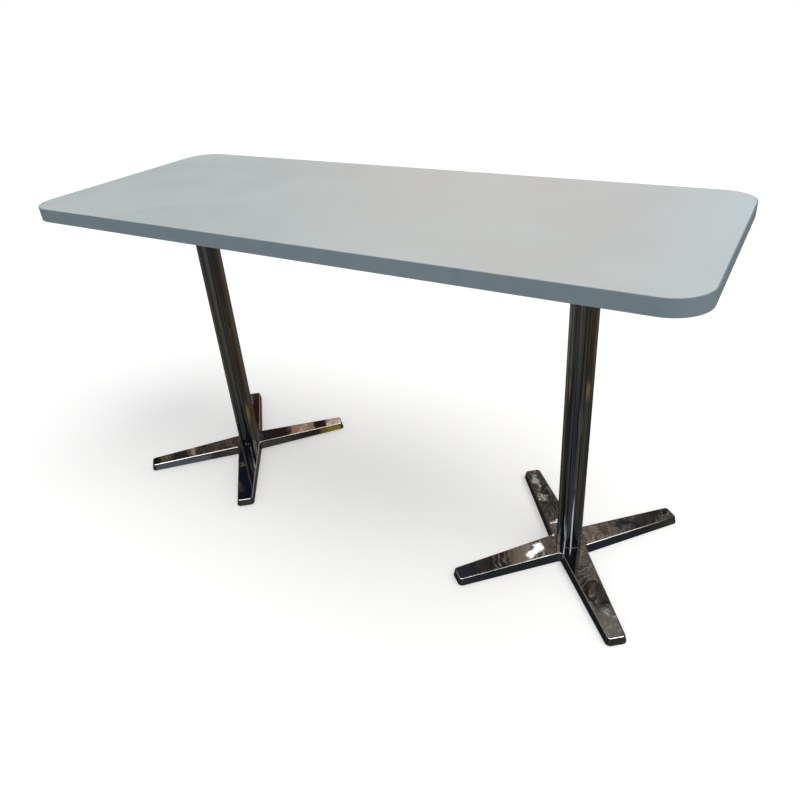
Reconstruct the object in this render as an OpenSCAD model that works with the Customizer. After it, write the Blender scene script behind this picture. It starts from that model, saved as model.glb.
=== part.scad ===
// Canteen table: laminate top on two clamped columns, each on a cast four-armed foot.
// Origin on the floor under the middle of the top, X along the top, Z up, millimetres.

/* [Table] */
// Height of the top's surface above the floor
table_h = 740; // [700:5:780]
// Length of the top over its edge band
top_l = 1400; // [1280:10:1800]
// Width of the top over its edge band
top_w = 540; // [500:10:800]
// Corner radius of the top in plan
corner_r = 65; // [20:1:90]
// Distance from each end of the top to its column's axis
column_inset = 235; // [232:1:320]

/* [Top layers] */
// Thickness of the particle board core
core_t = 26.4; // [24:0.2:36]
// Thickness of the decorative laminate
laminate_t = 0.8; // [0.5:0.1:1.5]
// Thickness of the balancing laminate underneath
backing_t = 0.8; // [0.5:0.1:1.5]
// Thickness of the edge band
band_t = 2; // [0.5:0.5:4]

/* [Column] */
// Outer diameter of the column tube
column_d = 54; // [48:1:58]
// Wall of the column tube
column_wall = 2; // [1.5:0.25:4]
// Radial clearance of the foot's and the spider's spigots in the tube
spigot_fit = 0.15; // [0.05:0.05:0.4]
// Length of the spigots inside the tube
spigot_l = 8; // [4:1:15]

/* [Foot] */
// Reach of each arm, from the column's axis to the arm's end
arm_reach = 265; // [240:5:320]
// Angle between each arm and the table's long axis
arm_spread = 49.5; // [42:0.5:50]
// Turn of both feet on their columns, clockwise from above
foot_turn = 2; // [0:0.5:4]
// Width of an arm at the column's axis
arm_root_w = 60.5; // [58:0.5:68]
// Width of an arm at its tip
arm_tip_w = 36.5; // [36:0.5:44]
// Height of the hub's seat above the floor
hub_h = 23; // [23:0.5:32]
// Height of the arms' top at their tips above the floor
tip_h = 18; // [17:0.5:22]
// Distance from the column's axis to where the arms' tops begin to fall
seat_reach = 33; // [31:1:45]
// Corner radius of the arm tips in plan
tip_r = 7; // [4:0.5:12]
// Radius along the arms' upper edges
edge_r = 2; // [1:0.5:3]
// Radius in the inner corners between the arms
crotch_r = 7; // [4:1:14]
// Height of the casting's rim above the floor
rim_gap = 1.5; // [1:0.5:2]
// Side walls of the casting
arm_wall = 5; // [3.5:0.5:7]
// Metal over the hollow of an arm
arm_roof = 5; // [3.5:0.5:7]
// Thickness of the cross rib in each arm
rib_t = 5; // [3:1:10]
// Solid metal of the hub beyond the column's surface, before an arm's hollow starts
hub_margin = 14; // [10:1:20]

/* [Spider] */
// Reach of the spider's arms to the screws
spider_reach = 168; // [120:2:180]
// Width of a spider arm at the hub
spider_root_w = 40; // [30:1:50]
// Width of a spider arm at its screw
spider_tip_w = 24; // [18:1:28]
// Thickness of the spider's arms at the hub
spider_root_t = 18; // [12:1:20]
// Thickness of the spider's arms at the screws
spider_tip_t = 7; // [6:0.5:10]
// Thickness of the spider's hub
spider_hub_t = 22; // [22:1:32]
// Radius of the spider's hub beyond the column's surface
spider_hub_lip = 5; // [3:1:10]

/* [Clamping] */
// Diameter of the tie rod
rod_d = 12; // [10:1:12]
// Clearance on the diameter of the tie rod's holes
rod_clearance = 1; // [0.5:0.25:2]
// Metal between a nut's recess and the tube's seat
seat_web = 6; // [4:0.5:6.5]
// Width of the nuts across their flats
nut_flats = 19; // [16:1:19]
// Thickness of the nuts
nut_t = 10.8; // [8:0.2:10.8]
// Diameter of the washers
washer_d = 28; // [24:1:30]
// Thickness of the washers
washer_t = 2.5; // [1.5:0.5:2.5]
// Clearance on the diameter of the nuts' recesses
recess_clearance = 4; // [2:0.5:6]
// Length of rod beyond each nut
rod_end = 1; // [0.5:0.5:1]
// Radial clearance of modelled threads
thread_fit = 0.05; // [0.02:0.01:0.1]

/* [Wood screws] */
// Diameter of the screws' shanks
screw_d = 4.5; // [3.5:0.5:5]
// Diameter of the screws' countersunk heads
screw_head_d = 9.6; // [8:0.2:10]
// Length of a screw inside the board
screw_bite = 18; // [14:1:20]
// Radial clearance of the shanks and heads in the spider
screw_fit = 0.25; // [0.15:0.05:0.4]
// Diameter of the screws' blunt points
screw_point_d = 1; // [0.5:0.1:1.5]

/* [Glides] */
// Diameter of the plastic pads
pad_d = 25; // [20:0.5:25]
// Thickness of the plastic pads
pad_t = 5; // [4:0.5:6]
// Radial gap between a pad and its recess in the arm
pad_gap = 1; // [0.5:0.25:1.5]
// Gap over a pad that is screwed right in
pad_seat_gap = 0.2; // [0.1:0.05:0.4]
// Distance from an arm's end to its glide's axis
glide_inset = 18; // [17.5:0.5:24]
// Diameter of the glides' studs
stud_d = 8; // [6:1:8]
// Depth of thread above a pad's recess
stud_depth = 9.5; // [8:0.5:9.5]
// Depth of a stud's foot inside its pad
stud_in_pad = 3.5; // [2:0.5:3.5]
// Height of the collar round a stud's foot
collar_h = 1.5; // [0.5:0.5:2]
// Wall of the collar round a stud's foot
collar_wall = 3; // [2:0.5:4]
// Chamfer round a pad's foot
pad_chamfer = 1; // [0.5:0.5:1.5]
// Chamfer at a stud's top
stud_chamfer = 0.8; // [0.4:0.2:1.2]

/* [Hidden] */
$fn = 96;
// How far a cutting shape runs past the face that it opens
over = 1;
// How far the webs between the arms run into the arms' sides
web_sink = 0.05;
// How far the webs' tops lie below the tube's seat
web_drop = 0.1;
// How far the webs reach back under the arms' rounded edges
web_depth = 4 * edge_r;
// Facets in the round of an arm's upper edge
edge_steps = 3;
// Sides: name and direction along X
SIDES = [["left", -1], ["right", 1]];
// Arms of a foot: name, inner or outer along X, front or back along Y
ARMS = [
    ["front_outer", 1, -1], ["front_inner", -1, -1],
    ["back_inner", -1, 1], ["back_outer", 1, 1]
];
// What is clamped on each column, from the floor up
COLUMN_PARTS = ["foot", "column", "spider", "tie_rod", "rod_nuts", "rod_washers", "board_screws"];
GLIDE_PARTS = ["pad", "stud"];

// Levels above the floor
board_under = table_h - laminate_t - core_t - backing_t;
core_under = board_under + backing_t;
tube_top = board_under - spider_hub_t;
foot_nut_seat = hub_h - seat_web;
spider_nut_seat = tube_top + seat_web;
pad_ceiling = pad_t + pad_seat_gap;
stud_top = pad_ceiling + stud_depth;

// Radii and places in plan
tube_r = column_d / 2;
bore_r = tube_r - column_wall;
rod_hole_r = (rod_d + rod_clearance) / 2;
recess_r = (washer_d + recess_clearance) / 2;
nut_r = nut_flats / 2 / cos(30);
arm_taper = (arm_root_w - arm_tip_w) / 2 / arm_reach;
taper_angle = atan(arm_taper);
arm_fall = atan((hub_h - tip_h) / (arm_reach - seat_reach));
glide_x = arm_reach - glide_inset;
pad_recess_r = pad_d / 2 + pad_gap;
hollow_start = tube_r + hub_margin;
hollow_end = glide_x - pad_recess_r - arm_wall;
hollow_mid = (hollow_start + hollow_end) / 2;
screw_head_h = (screw_head_d - screw_d) / 2;
stud_r = stud_d / 2;
spider_hub_r = tube_r + spider_hub_lip;

// Half the width of a foot's arm at a distance x from the column's axis
function arm_half_w(x) = arm_root_w / 2 - arm_taper * x;

// Height of an arm's top above the floor at a distance x
function arm_top(x) = x <= seat_reach ? hub_h
    : hub_h - (hub_h - tip_h) * (x - seat_reach) / (arm_reach - seat_reach);

// Direction of an arm in plan, for the foot on side s
function arm_angle(s, a) = atan2(a[2] * sin(arm_spread), s[1] * a[1] * cos(arm_spread)) - foot_turn;

// Directions of the four arms of either foot
function arm_angles() = [for (a = ARMS) arm_angle(SIDES[1], a)];

module at_column(s) {
    translate([s[1] * (top_l / 2 - column_inset), 0, 0]) children();
}

module at_glide(s, a) {
    at_column(s) rotate(arm_angle(s, a)) translate([glide_x, 0, 0]) children();
}

module at_spider_arms() {
    for (angle = arm_angles()) rotate(angle + foot_turn) children();
}

// Rectangle with true arcs at its corners
module rounded_plan(l, w, r) {
    square([l - 2 * r, w], center = true);
    square([l, w - 2 * r], center = true);
    for (x = [-1, 1]) for (y = [-1, 1]) {
        translate([x * (l / 2 - r), y * (w / 2 - r)]) circle(r);
    }
}

// Plan of the board inside its edge band
module board_plan() {
    rounded_plan(top_l - 2 * band_t, top_w - 2 * band_t, corner_r - band_t);
}

// Pilot holes for the wood screws, up from the board's underside
module pilot_holes() {
    for (s = SIDES) at_column(s) at_spider_arms() {
        translate([spider_reach, 0, board_under - over])
            cylinder(h = screw_bite + 2 * over, r = screw_d / 2 + thread_fit);
    }
}

module board_core() {
    color("burlywood") difference() {
        translate([0, 0, core_under]) linear_extrude(core_t) board_plan();
        pilot_holes();
    }
}

module top_laminate() {
    color([0.75, 0.78, 0.77]) translate([0, 0, table_h - laminate_t])
        linear_extrude(laminate_t) board_plan();
}

module backing_laminate() {
    color([0.86, 0.86, 0.84]) difference() {
        translate([0, 0, board_under]) linear_extrude(backing_t) board_plan();
        pilot_holes();
    }
}

module edge_band() {
    color([0.44, 0.49, 0.51]) translate([0, 0, board_under])
        linear_extrude(table_h - board_under) difference() {
            rounded_plan(top_l, top_w, corner_r);
            board_plan();
        }
}

// Turns what is drawn with its top at z = 0 so that this top falls along the arm
module on_falling_top() {
    translate([seat_reach, 0, hub_h]) rotate([0, arm_fall, 0]) children();
}

// What an edge loses to its polished round, with the sharp corner at the origin
module edge_waste() {
    step = 90 / edge_steps;
    arc = [for (a = [0:step:90]) [edge_r * (cos(a) - 1), edge_r * (sin(a) - 1)]];
    polygon(concat(arc, [[-edge_r, over], [over, over], [over, -edge_r]]));
}

// Solid arm before its level seat and rim are cut, its upper edges rounded
module falling_arm() {
    root_x = -seat_reach;
    root_y = arm_half_w(0);
    end_x = (arm_reach - seat_reach) / cos(arm_fall);
    corner_x = end_x - tip_r;
    corner_y = arm_half_w(corner_x + seat_reach) - tip_r / cos(taper_angle);
    side_x = corner_x + tip_r * sin(taper_angle);
    side_y = corner_y + tip_r * cos(taper_angle);
    side_l = norm([side_x - root_x, side_y - root_y]);
    difference() {
        translate([0, 0, -2 * hub_h]) linear_extrude(2 * hub_h) {
            polygon([
                [root_x, -root_y], [side_x, -side_y], [end_x, -corner_y],
                [end_x, corner_y], [side_x, side_y], [root_x, root_y]
            ]);
            for (y = [-1, 1]) translate([corner_x, y * corner_y]) circle(tip_r);
        }
        for (y = [0, 1]) mirror([0, y, 0]) {
            translate([root_x, root_y, 0]) rotate(-taper_angle) rotate([90, 0, 90])
                linear_extrude(side_l) edge_waste();
            translate([corner_x, corner_y, 0]) rotate_extrude(angle = 90 - taper_angle)
                translate([tip_r, 0]) edge_waste();
        }
        translate([end_x, corner_y, 0]) rotate([90, 0, 0])
            linear_extrude(2 * corner_y) edge_waste();
    }
}

// One arm: level over the tube's seat, then falling and narrowing to a rounded tip
module foot_arm() {
    intersection() {
        on_falling_top() falling_arm();
        translate([-over, -arm_root_w, rim_gap])
            cube([2 * arm_reach, 2 * arm_root_w, hub_h - rim_gap]);
    }
}

// Web with a round inner corner between two arms that stand half_angle either side of X
module crotch_web(half_angle) {
    edge_angle = half_angle + taper_angle;
    corner_x = (arm_half_w(0) - web_sink) / (sin(half_angle) + arm_taper * cos(half_angle));
    centre_x = corner_x + crotch_r / sin(edge_angle);
    touch = (centre_x - corner_x) * cos(edge_angle);
    touch_x = corner_x + touch * cos(edge_angle);
    touch_y = touch * sin(edge_angle);
    inner_x = corner_x - web_depth;
    translate([0, 0, rim_gap]) linear_extrude(hub_h - web_drop - rim_gap) difference() {
        polygon([[inner_x, 0], [touch_x, -touch_y], [centre_x, 0], [touch_x, touch_y]]);
        translate([centre_x, 0]) circle(crotch_r);
    }
}

// Hollow under an arm from x0 to x1, inside the side walls
module arm_hollow(x0, x1) {
    y0 = arm_half_w(x0) - arm_wall;
    y1 = arm_half_w(x1) - arm_wall;
    linear_extrude(arm_top(x1) - arm_roof) polygon([[x0, -y0], [x1, -y1], [x1, y1], [x0, y0]]);
}

// Recess for a glide's pad, with the tapped hole above it
module glide_seat() {
    translate([glide_x, 0, 0]) {
        cylinder(h = pad_ceiling, r = pad_recess_r);
        cylinder(h = stud_top, r = stud_r + thread_fit);
    }
}

// Cast four-armed foot with its spigot, ribbed hollows, glide seats and nut recess
module foot() {
    color([0.35, 0.35, 0.36]) difference() {
        union() {
            for (angle = arm_angles()) rotate(angle) foot_arm();
            for (angle = [0, 180]) rotate(angle - foot_turn) crotch_web(arm_spread);
            for (angle = [90, 270]) rotate(angle - foot_turn) crotch_web(90 - arm_spread);
            translate([0, 0, foot_nut_seat])
                cylinder(h = seat_web + spigot_l, r = bore_r - spigot_fit);
        }
        for (angle = arm_angles()) rotate(angle) {
            arm_hollow(hollow_start, hollow_mid - rib_t / 2);
            arm_hollow(hollow_mid + rib_t / 2, hollow_end);
            glide_seat();
        }
        cylinder(h = foot_nut_seat, r = recess_r);
        cylinder(h = hub_h + spigot_l + over, r = rod_hole_r);
    }
}

module column() {
    color([0.3, 0.3, 0.31]) translate([0, 0, hub_h]) difference() {
        cylinder(h = tube_top - hub_h, r = tube_r);
        translate([0, 0, -over]) cylinder(h = tube_top - hub_h + 2 * over, r = bore_r);
    }
}

// Plan of one spider arm, from inside the hub out to its round screw boss
module spider_arm_plan() {
    root_x = spider_hub_r - spider_hub_lip;
    polygon([
        [root_x, -spider_root_w / 2], [spider_reach, -spider_tip_w / 2],
        [spider_reach, spider_tip_w / 2], [root_x, spider_root_w / 2]
    ]);
    translate([spider_reach, 0]) circle(d = spider_tip_w);
}

// One spider arm, deep at the hub and thin at the screw
module spider_arm() {
    boss_x = spider_reach - spider_tip_w / 2;
    end_x = spider_reach + spider_tip_w;
    intersection() {
        translate([0, 0, tube_top]) linear_extrude(spider_hub_t) spider_arm_plan();
        translate([0, spider_root_w, board_under]) rotate([90, 0, 0])
            linear_extrude(2 * spider_root_w) polygon([
                [0, 0], [0, -spider_root_t], [spider_hub_r, -spider_root_t],
                [boss_x, -spider_tip_t], [end_x, -spider_tip_t], [end_x, 0]
            ]);
    }
}

// Countersunk through hole for a wood screw, at a spider arm's tip
module spider_screw_hole() {
    translate([spider_reach, 0, board_under - spider_tip_t]) {
        translate([0, 0, -over]) cylinder(h = spider_tip_t + 2 * over, r = screw_d / 2 + screw_fit);
        translate([0, 0, -over]) cylinder(h = over, r = screw_head_d / 2 + screw_fit);
        cylinder(h = screw_head_h, r1 = screw_head_d / 2 + screw_fit, r2 = screw_d / 2 + screw_fit);
    }
}

// Cast bracket under the top, with a spigot for the tube and a recess for the upper nut
module spider() {
    color([0.15, 0.15, 0.16]) difference() {
        union() {
            at_spider_arms() spider_arm();
            translate([0, 0, tube_top]) cylinder(h = spider_hub_t, r = spider_hub_r);
            translate([0, 0, tube_top - spigot_l])
                cylinder(h = spigot_l + seat_web, r = bore_r - spigot_fit);
        }
        at_spider_arms() spider_screw_hole();
        translate([0, 0, spider_nut_seat]) cylinder(h = spider_hub_t, r = recess_r);
        translate([0, 0, tube_top - spigot_l - over])
            cylinder(h = spider_hub_t + spigot_l, r = rod_hole_r);
    }
}

// Threaded rod from nut to nut
module tie_rod() {
    bottom = foot_nut_seat - washer_t - nut_t - rod_end;
    top = spider_nut_seat + washer_t + nut_t + rod_end;
    color([0.6, 0.6, 0.62]) translate([0, 0, bottom]) cylinder(h = top - bottom, d = rod_d);
}

// Hexagon nut with its underside at z = 0
module nut() {
    difference() {
        cylinder(h = nut_t, r = nut_r, $fn = 6);
        translate([0, 0, -over]) cylinder(h = nut_t + 2 * over, r = rod_d / 2 + thread_fit);
    }
}

module rod_nuts() {
    color([0.65, 0.65, 0.67]) {
        translate([0, 0, foot_nut_seat - washer_t - nut_t]) nut();
        translate([0, 0, spider_nut_seat + washer_t]) nut();
    }
}

// Flat washer with its underside at z = 0
module washer() {
    difference() {
        cylinder(h = washer_t, d = washer_d);
        translate([0, 0, -over]) cylinder(h = washer_t + 2 * over, r = rod_hole_r);
    }
}

module rod_washers() {
    color([0.7, 0.7, 0.72]) {
        translate([0, 0, foot_nut_seat - washer_t]) washer();
        translate([0, 0, spider_nut_seat]) washer();
    }
}

// Countersunk wood screw, its head flush with the spider's underside
module board_screw() {
    point_h = screw_d;
    shank_h = spider_tip_t + screw_bite - point_h;
    cylinder(h = screw_head_h, d1 = screw_head_d, d2 = screw_d);
    cylinder(h = shank_h, d = screw_d);
    translate([0, 0, shank_h]) cylinder(h = point_h, d1 = screw_d, d2 = screw_point_d);
}

module board_screws() {
    color([0.72, 0.68, 0.5]) at_spider_arms()
        translate([spider_reach, 0, board_under - spider_tip_t]) board_screw();
}

// Plastic pad of a glide, with a chamfered foot and a collar round the stud
module glide_pad() {
    base_h = pad_t - collar_h;
    collar_r = stud_r + collar_wall;
    color([0.12, 0.12, 0.12]) rotate_extrude() difference() {
        polygon([
            [0, 0], [pad_d / 2 - pad_chamfer, 0], [pad_d / 2, pad_chamfer],
            [pad_d / 2, base_h], [collar_r, base_h], [collar_r, pad_t], [0, pad_t]
        ]);
        translate([0, pad_t - stud_in_pad]) square([stud_r, pad_t]);
    }
}

// Threaded stud of a glide, standing in its pad
module glide_stud() {
    foot_z = pad_t - stud_in_pad;
    top_z = stud_top - pad_seat_gap;
    color([0.66, 0.66, 0.68]) rotate_extrude() polygon([
        [0, foot_z], [stud_r, foot_z], [stud_r, top_z - stud_chamfer],
        [stud_r - stud_chamfer, top_z], [0, top_z]
    ]);
}

board_core();
top_laminate();
backing_laminate();
edge_band();
for (s = SIDES) {
    at_column(s) foot();
    at_column(s) column();
    at_column(s) spider();
    at_column(s) tie_rod();
    at_column(s) rod_nuts();
    at_column(s) rod_washers();
    at_column(s) board_screws();
    for (a = ARMS) {
        at_glide(s, a) glide_pad();
        at_glide(s, a) glide_stud();
    }
}
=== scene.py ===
"""Canteen table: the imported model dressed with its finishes, on a pale floor, seen as in its photograph.

Lengths are in metres, in the model's own frame: the origin is on the floor under the middle of the top,
X runs along the top and Z is up. Angles in the dataclasses are in degrees. Colours written as three whole
numbers are display colours from 0 to 255, and linear() turns them into the shader's own values.
"""

import logging
import math
from collections.abc import Callable, Mapping, Sequence
from dataclasses import dataclass
from enum import Enum, auto

import bmesh
import bpy
import numpy as np
from mathutils import Matrix, Vector

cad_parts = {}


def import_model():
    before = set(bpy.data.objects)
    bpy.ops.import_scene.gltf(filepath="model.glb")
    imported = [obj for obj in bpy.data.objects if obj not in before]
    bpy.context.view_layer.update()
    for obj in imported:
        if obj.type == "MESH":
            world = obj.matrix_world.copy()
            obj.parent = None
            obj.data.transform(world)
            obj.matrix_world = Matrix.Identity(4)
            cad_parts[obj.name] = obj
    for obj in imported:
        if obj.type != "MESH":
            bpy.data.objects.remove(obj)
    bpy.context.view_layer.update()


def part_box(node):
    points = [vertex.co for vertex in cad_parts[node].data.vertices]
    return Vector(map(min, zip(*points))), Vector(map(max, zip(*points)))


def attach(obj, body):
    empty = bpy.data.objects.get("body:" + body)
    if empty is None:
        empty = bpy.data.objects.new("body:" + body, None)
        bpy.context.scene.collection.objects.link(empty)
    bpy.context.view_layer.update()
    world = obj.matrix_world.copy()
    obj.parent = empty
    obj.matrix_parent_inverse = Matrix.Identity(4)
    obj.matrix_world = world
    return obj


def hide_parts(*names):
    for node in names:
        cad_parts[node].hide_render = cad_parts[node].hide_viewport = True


Mesh = bpy.types.Mesh
Object = bpy.types.Object
Socket = bpy.types.NodeSocket
Sockets = Mapping[str, Socket]
Colour = tuple[int, int, int]
Rgba = tuple[float, float, float, float]
Point = tuple[float, float, float]
Pair = tuple[float, float]
Stops = tuple[tuple[float, Colour], ...]
Height = Callable[[np.ndarray], np.ndarray]

LOG = logging.getLogger("canteen_table")
TABLE = "table"
MM = 0.001
WHITE: Rgba = (1.0, 1.0, 1.0, 1.0)
SHARP_ANGLE = 32.0
MERGE_DISTANCE = 1e-6
STRAIGHT = 1e-9
# Walls whose normals rise by less than this are shaded as if they stood upright
DRAFT_SLOPE = 0.24
# Points of a rounded edge, and the strip of flat face kept on both sides of it, as a share of its radius
EDGE_POINTS = 7
EDGE_MARGIN = 0.25
# Share of the cells that hold a fleck, and how far drawn lines are stretched along Z
FLECKED_SHARE = 0.22
DRAWN_STRETCH: Point = (1.0, 1.0, 0.012)
# Directions of a foot's arms, and how far the spider above it is turned on from them
ARM_ANGLES = (47.5, 128.5, 227.5, 308.5)
FOOT_TURN = 2.0
SCREW_REACH = 168 * MM


class Named(Enum):
    """Options whose names are part of node names."""

    @property
    def label(self) -> str:
        """The option's name as node names have it."""
        return self.name.lower()


class Side(Named):
    """The two clamped columns: the left one is towards -X."""

    LEFT = auto()
    RIGHT = auto()


class Arm(Named):
    """The four arms of a foot: outer or inner along X, and front, towards -Y, or back."""

    FRONT_OUTER = auto()
    FRONT_INNER = auto()
    BACK_INNER = auto()
    BACK_OUTER = auto()


def linear(colour: Colour, gain: float = 1.0) -> Rgba:
    """Turns a display colour into linear values for a shader, by the sRGB curve.

    Args:
        colour: Red, green and blue from 0 to 255.
        gain: Factor on the linear values.

    Returns:
        Red, green, blue and an alpha of 1.
    """
    share = np.array(colour) / 255
    values = np.where(share <= 0.04045, share / 12.92, ((share + 0.055) / 1.055) ** 2.4) * gain
    return (*(float(v) for v in values), 1.0)


def turned(points: np.ndarray, degrees: float) -> np.ndarray:
    """Turns plan points about the origin.

    Args:
        points: Array whose last axis is x and y.
        degrees: Turn, anticlockwise from above.

    Returns:
        The turned points.
    """
    c, s = math.cos(math.radians(degrees)), math.sin(math.radians(degrees))
    return points @ np.array([[c, s], [-s, c]])


def steps_round(count: int) -> np.ndarray:
    """Angles of even steps round an axis, as a column."""
    return np.linspace(0, math.tau, count, endpoint=False)[:, None]


def around(radius: np.ndarray, angle: np.ndarray, height: np.ndarray) -> np.ndarray:
    """Points about the vertical axis: x = r cos(a), y = r sin(a), z = height."""
    parts = np.broadcast_arrays(radius * np.cos(angle), radius * np.sin(angle), height)
    return np.stack(parts, axis=-1)


def bore(*rings: Pair) -> np.ndarray:
    """Profile through rings of a radius and a height, closed on the axis at both ends."""
    return np.array([(0, rings[0][1]), *rings, (0, rings[-1][1])])


def soft_outline(
    corners: Sequence[Point], steps: int = 6, closed: bool = True, guard: float = 0.0
) -> tuple[np.ndarray, np.ndarray]:
    """Line through corners that are rounded by true arcs, with the normals to its right.

    At a corner that turns by an angle t, an arc of radius r starts r * tan(t / 2) before the corner. Its
    points are centre + r * n, where n turns evenly from the normal of the way in to that of the way out.

    Args:
        corners: x, y and radius of each corner, anticlockwise if closed, so that normals point outwards.
        steps: Chords in each arc.
        closed: Whether the last corner joins the first.
        guard: Distance of an extra point before and after each arc, which keeps the flats' shading flat.

    Returns:
        The points and the unit normals, as two arrays of x and y.
    """
    places = np.array([corner[:2] for corner in corners], float)
    count = len(corners)
    points, normals = [], []
    for i, (_, _, radius) in enumerate(corners):
        way_in = places[i] - places[i - 1]
        way_out = places[(i + 1) % count] - places[i]
        if not closed and i == 0:
            way_in = way_out
        if not closed and i == count - 1:
            way_out = way_in
        way_in, way_out = (way / np.linalg.norm(way) for way in (way_in, way_out))
        normal_in, normal_out = (np.array([way[1], -way[0]]) for way in (way_in, way_out))
        turn = math.atan2(way_in[0] * way_out[1] - way_in[1] * way_out[0], way_in @ way_out)
        if radius == 0 or abs(turn) < STRAIGHT:
            points.append(places[i][None])
            normals.append(((normal_in + normal_out) / (1 + normal_in @ normal_out))[None])
            continue
        bend = math.copysign(radius, turn)
        start = places[i] - way_in * (radius * math.tan(abs(turn) / 2))
        angles = np.degrees(turn) * np.linspace(0, 1, steps + 1)
        arc_normals = np.stack([turned(normal_in, angle) for angle in angles])
        arc = start - bend * normal_in + bend * arc_normals
        if guard:
            arc = np.vstack([arc[:1] - way_in * guard, arc, arc[-1:] + way_out * guard])
            arc_normals = np.vstack([arc_normals[:1], arc_normals, arc_normals[-1:]])
        points.append(arc)
        normals.append(arc_normals)
    return np.vstack(points), np.vstack(normals)


@dataclass
class Outline:
    """Closed plan outline that a profile is carried along.

    The spine holds, for each point, the plan point where the flat faces inside it end.
    """

    points: np.ndarray
    normals: np.ndarray
    spine: np.ndarray

    @classmethod
    def rounded(cls, corners: Sequence[Point], steps: int) -> "Outline":
        """Outline of a convex polygon with round corners, whose spine is its middle.

        Args:
            corners: x, y and radius of each corner, anticlockwise.
            steps: Chords in each corner's arc.

        Returns:
            The outline.
        """
        points, normals = soft_outline(corners, steps)
        return cls(points, normals, np.broadcast_to(points.mean(axis=0), points.shape))

    def turned(self, degrees: float) -> "Outline":
        """The same outline, turned about the origin by an angle in degrees."""
        return Outline(*(turned(part, degrees) for part in (self.points, self.normals, self.spine)))


class Skin:
    """Points and quads of one piece, gathered grid by grid."""

    def __init__(self) -> None:
        """Starts with no points."""
        self.points: list[np.ndarray] = []
        self.quads: list[np.ndarray] = []
        self.count = 0

    def grid(self, points: np.ndarray, wrap_rows: bool = True, wrap_columns: bool = False) -> "Skin":
        """Adds a grid of points, with a quad between each four neighbours.

        Args:
            points: Array of rows, columns and x, y, z.
            wrap_rows: Whether the last row joins the first.
            wrap_columns: Whether the last column joins the first.

        Returns:
            This skin.
        """
        rows, columns = points.shape[:2]
        index = np.arange(rows * columns).reshape(rows, columns) + self.count
        if wrap_rows:
            index = np.vstack([index, index[:1]])
        if wrap_columns:
            index = np.hstack([index, index[:, :1]])
        quads = np.stack([index[:-1, :-1], index[1:, :-1], index[1:, 1:], index[:-1, 1:]], axis=-1)
        self.points.append(points.reshape(-1, 3))
        self.quads.append(quads.reshape(-1, 4))
        self.count += rows * columns
        return self

    def revolve(self, profile: np.ndarray, segments: int, closed: bool, place: Point = (0, 0, 0)) -> "Skin":
        """Adds a profile turned about a vertical axis.

        Args:
            profile: Radius and height of each profile point.
            segments: Steps round the axis.
            closed: Whether the profile's last point joins its first.
            place: Where the axis and the profile's level zero lie.

        Returns:
            This skin.
        """
        points = around(profile[:, 0], steps_round(segments), profile[:, 1])
        return self.grid(points + np.array(place), wrap_columns=closed)

    def solid(
        self, outline: Outline, low: Height, high: Height, low_r: float, high_r: float, draft: float = 0.0
    ) -> "Skin":
        """Adds a closed body whose side follows an outline, with its lower and upper edges rounded.

        The profile leaves the spine at the low level, runs out to the side less low_r, goes round a quarter
        circle to the wall, up it, round a quarter circle of high_r and back in to the spine at the high
        level. Each of its points lies at outline - inset * normal, and the wall's foot stands out by draft.

        Args:
            outline: The plan outline, anticlockwise.
            low: Level of the underside at given plan points.
            high: Level of the upper side at given plan points.
            low_r: Radius of the lower edges.
            high_r: Radius of the upper edges.
            draft: How far the wall's foot stands outside its top.

        Returns:
            This skin.
        """
        quarter = np.linspace(0, math.pi / 2, EDGE_POINTS)
        fall = np.concatenate([[1 + EDGE_MARGIN], 1 - np.sin(quarter), [0]])
        rise = np.concatenate([[0], 1 - np.cos(quarter), [1 + EDGE_MARGIN]])
        points, normals, spine = outline.points[:, None], outline.normals[:, None], outline.spine[:, None]
        lower = points - normals * (low_r * fall - draft)[:, None]
        upper = points - normals * (high_r * rise)[:, None]
        return self.grid(np.hstack([
            np.dstack([spine, low(spine)]),
            np.dstack([lower, low(lower) + low_r * rise]),
            np.dstack([upper, high(upper) - high_r * fall]),
            np.dstack([spine, high(spine)]),
        ]))

    def moved(self, offset: Point) -> "Skin":
        """Moves everything that the skin holds so far by an offset, and returns the skin."""
        self.points = [points + np.array(offset) for points in self.points]
        return self

    def mesh(self, name: str) -> Mesh:
        """Makes one mesh whose faces point outwards.

        Args:
            name: Name of the mesh.

        Returns:
            The mesh, with doubled points merged.
        """
        points, quads = np.vstack(self.points), np.vstack(self.quads)
        mesh = bpy.data.meshes.new(name)
        mesh.vertices.add(len(points))
        mesh.vertices.foreach_set("co", points.astype(np.float32).ravel())
        mesh.loops.add(quads.size)
        mesh.loops.foreach_set("vertex_index", quads.astype(np.int32).ravel())
        mesh.polygons.add(len(quads))
        mesh.polygons.foreach_set("loop_start", np.arange(0, quads.size, 4, dtype=np.int32))
        mesh.polygons.foreach_set("loop_total", np.full(len(quads), 4, np.int32))
        mesh.update(calc_edges=True)
        shape = bmesh.new()
        shape.from_mesh(mesh)
        bmesh.ops.remove_doubles(shape, verts=shape.verts, dist=MERGE_DISTANCE)
        bmesh.ops.dissolve_degenerate(shape, edges=shape.edges, dist=MERGE_DISTANCE)
        bmesh.ops.recalc_face_normals(shape, faces=shape.faces)
        shape.to_mesh(mesh)
        shape.free()
        return mesh


def shaded(mesh: Mesh) -> Mesh:
    """Shades a mesh smooth, apart from edges sharper than SHARP_ANGLE.

    Args:
        mesh: The mesh to shade.

    Returns:
        The same mesh.
    """
    mesh.polygons.foreach_set("use_smooth", np.ones(len(mesh.polygons), bool))
    mesh.set_sharp_from_angle(angle=math.radians(SHARP_ANGLE))
    mesh.update()
    return mesh


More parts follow.
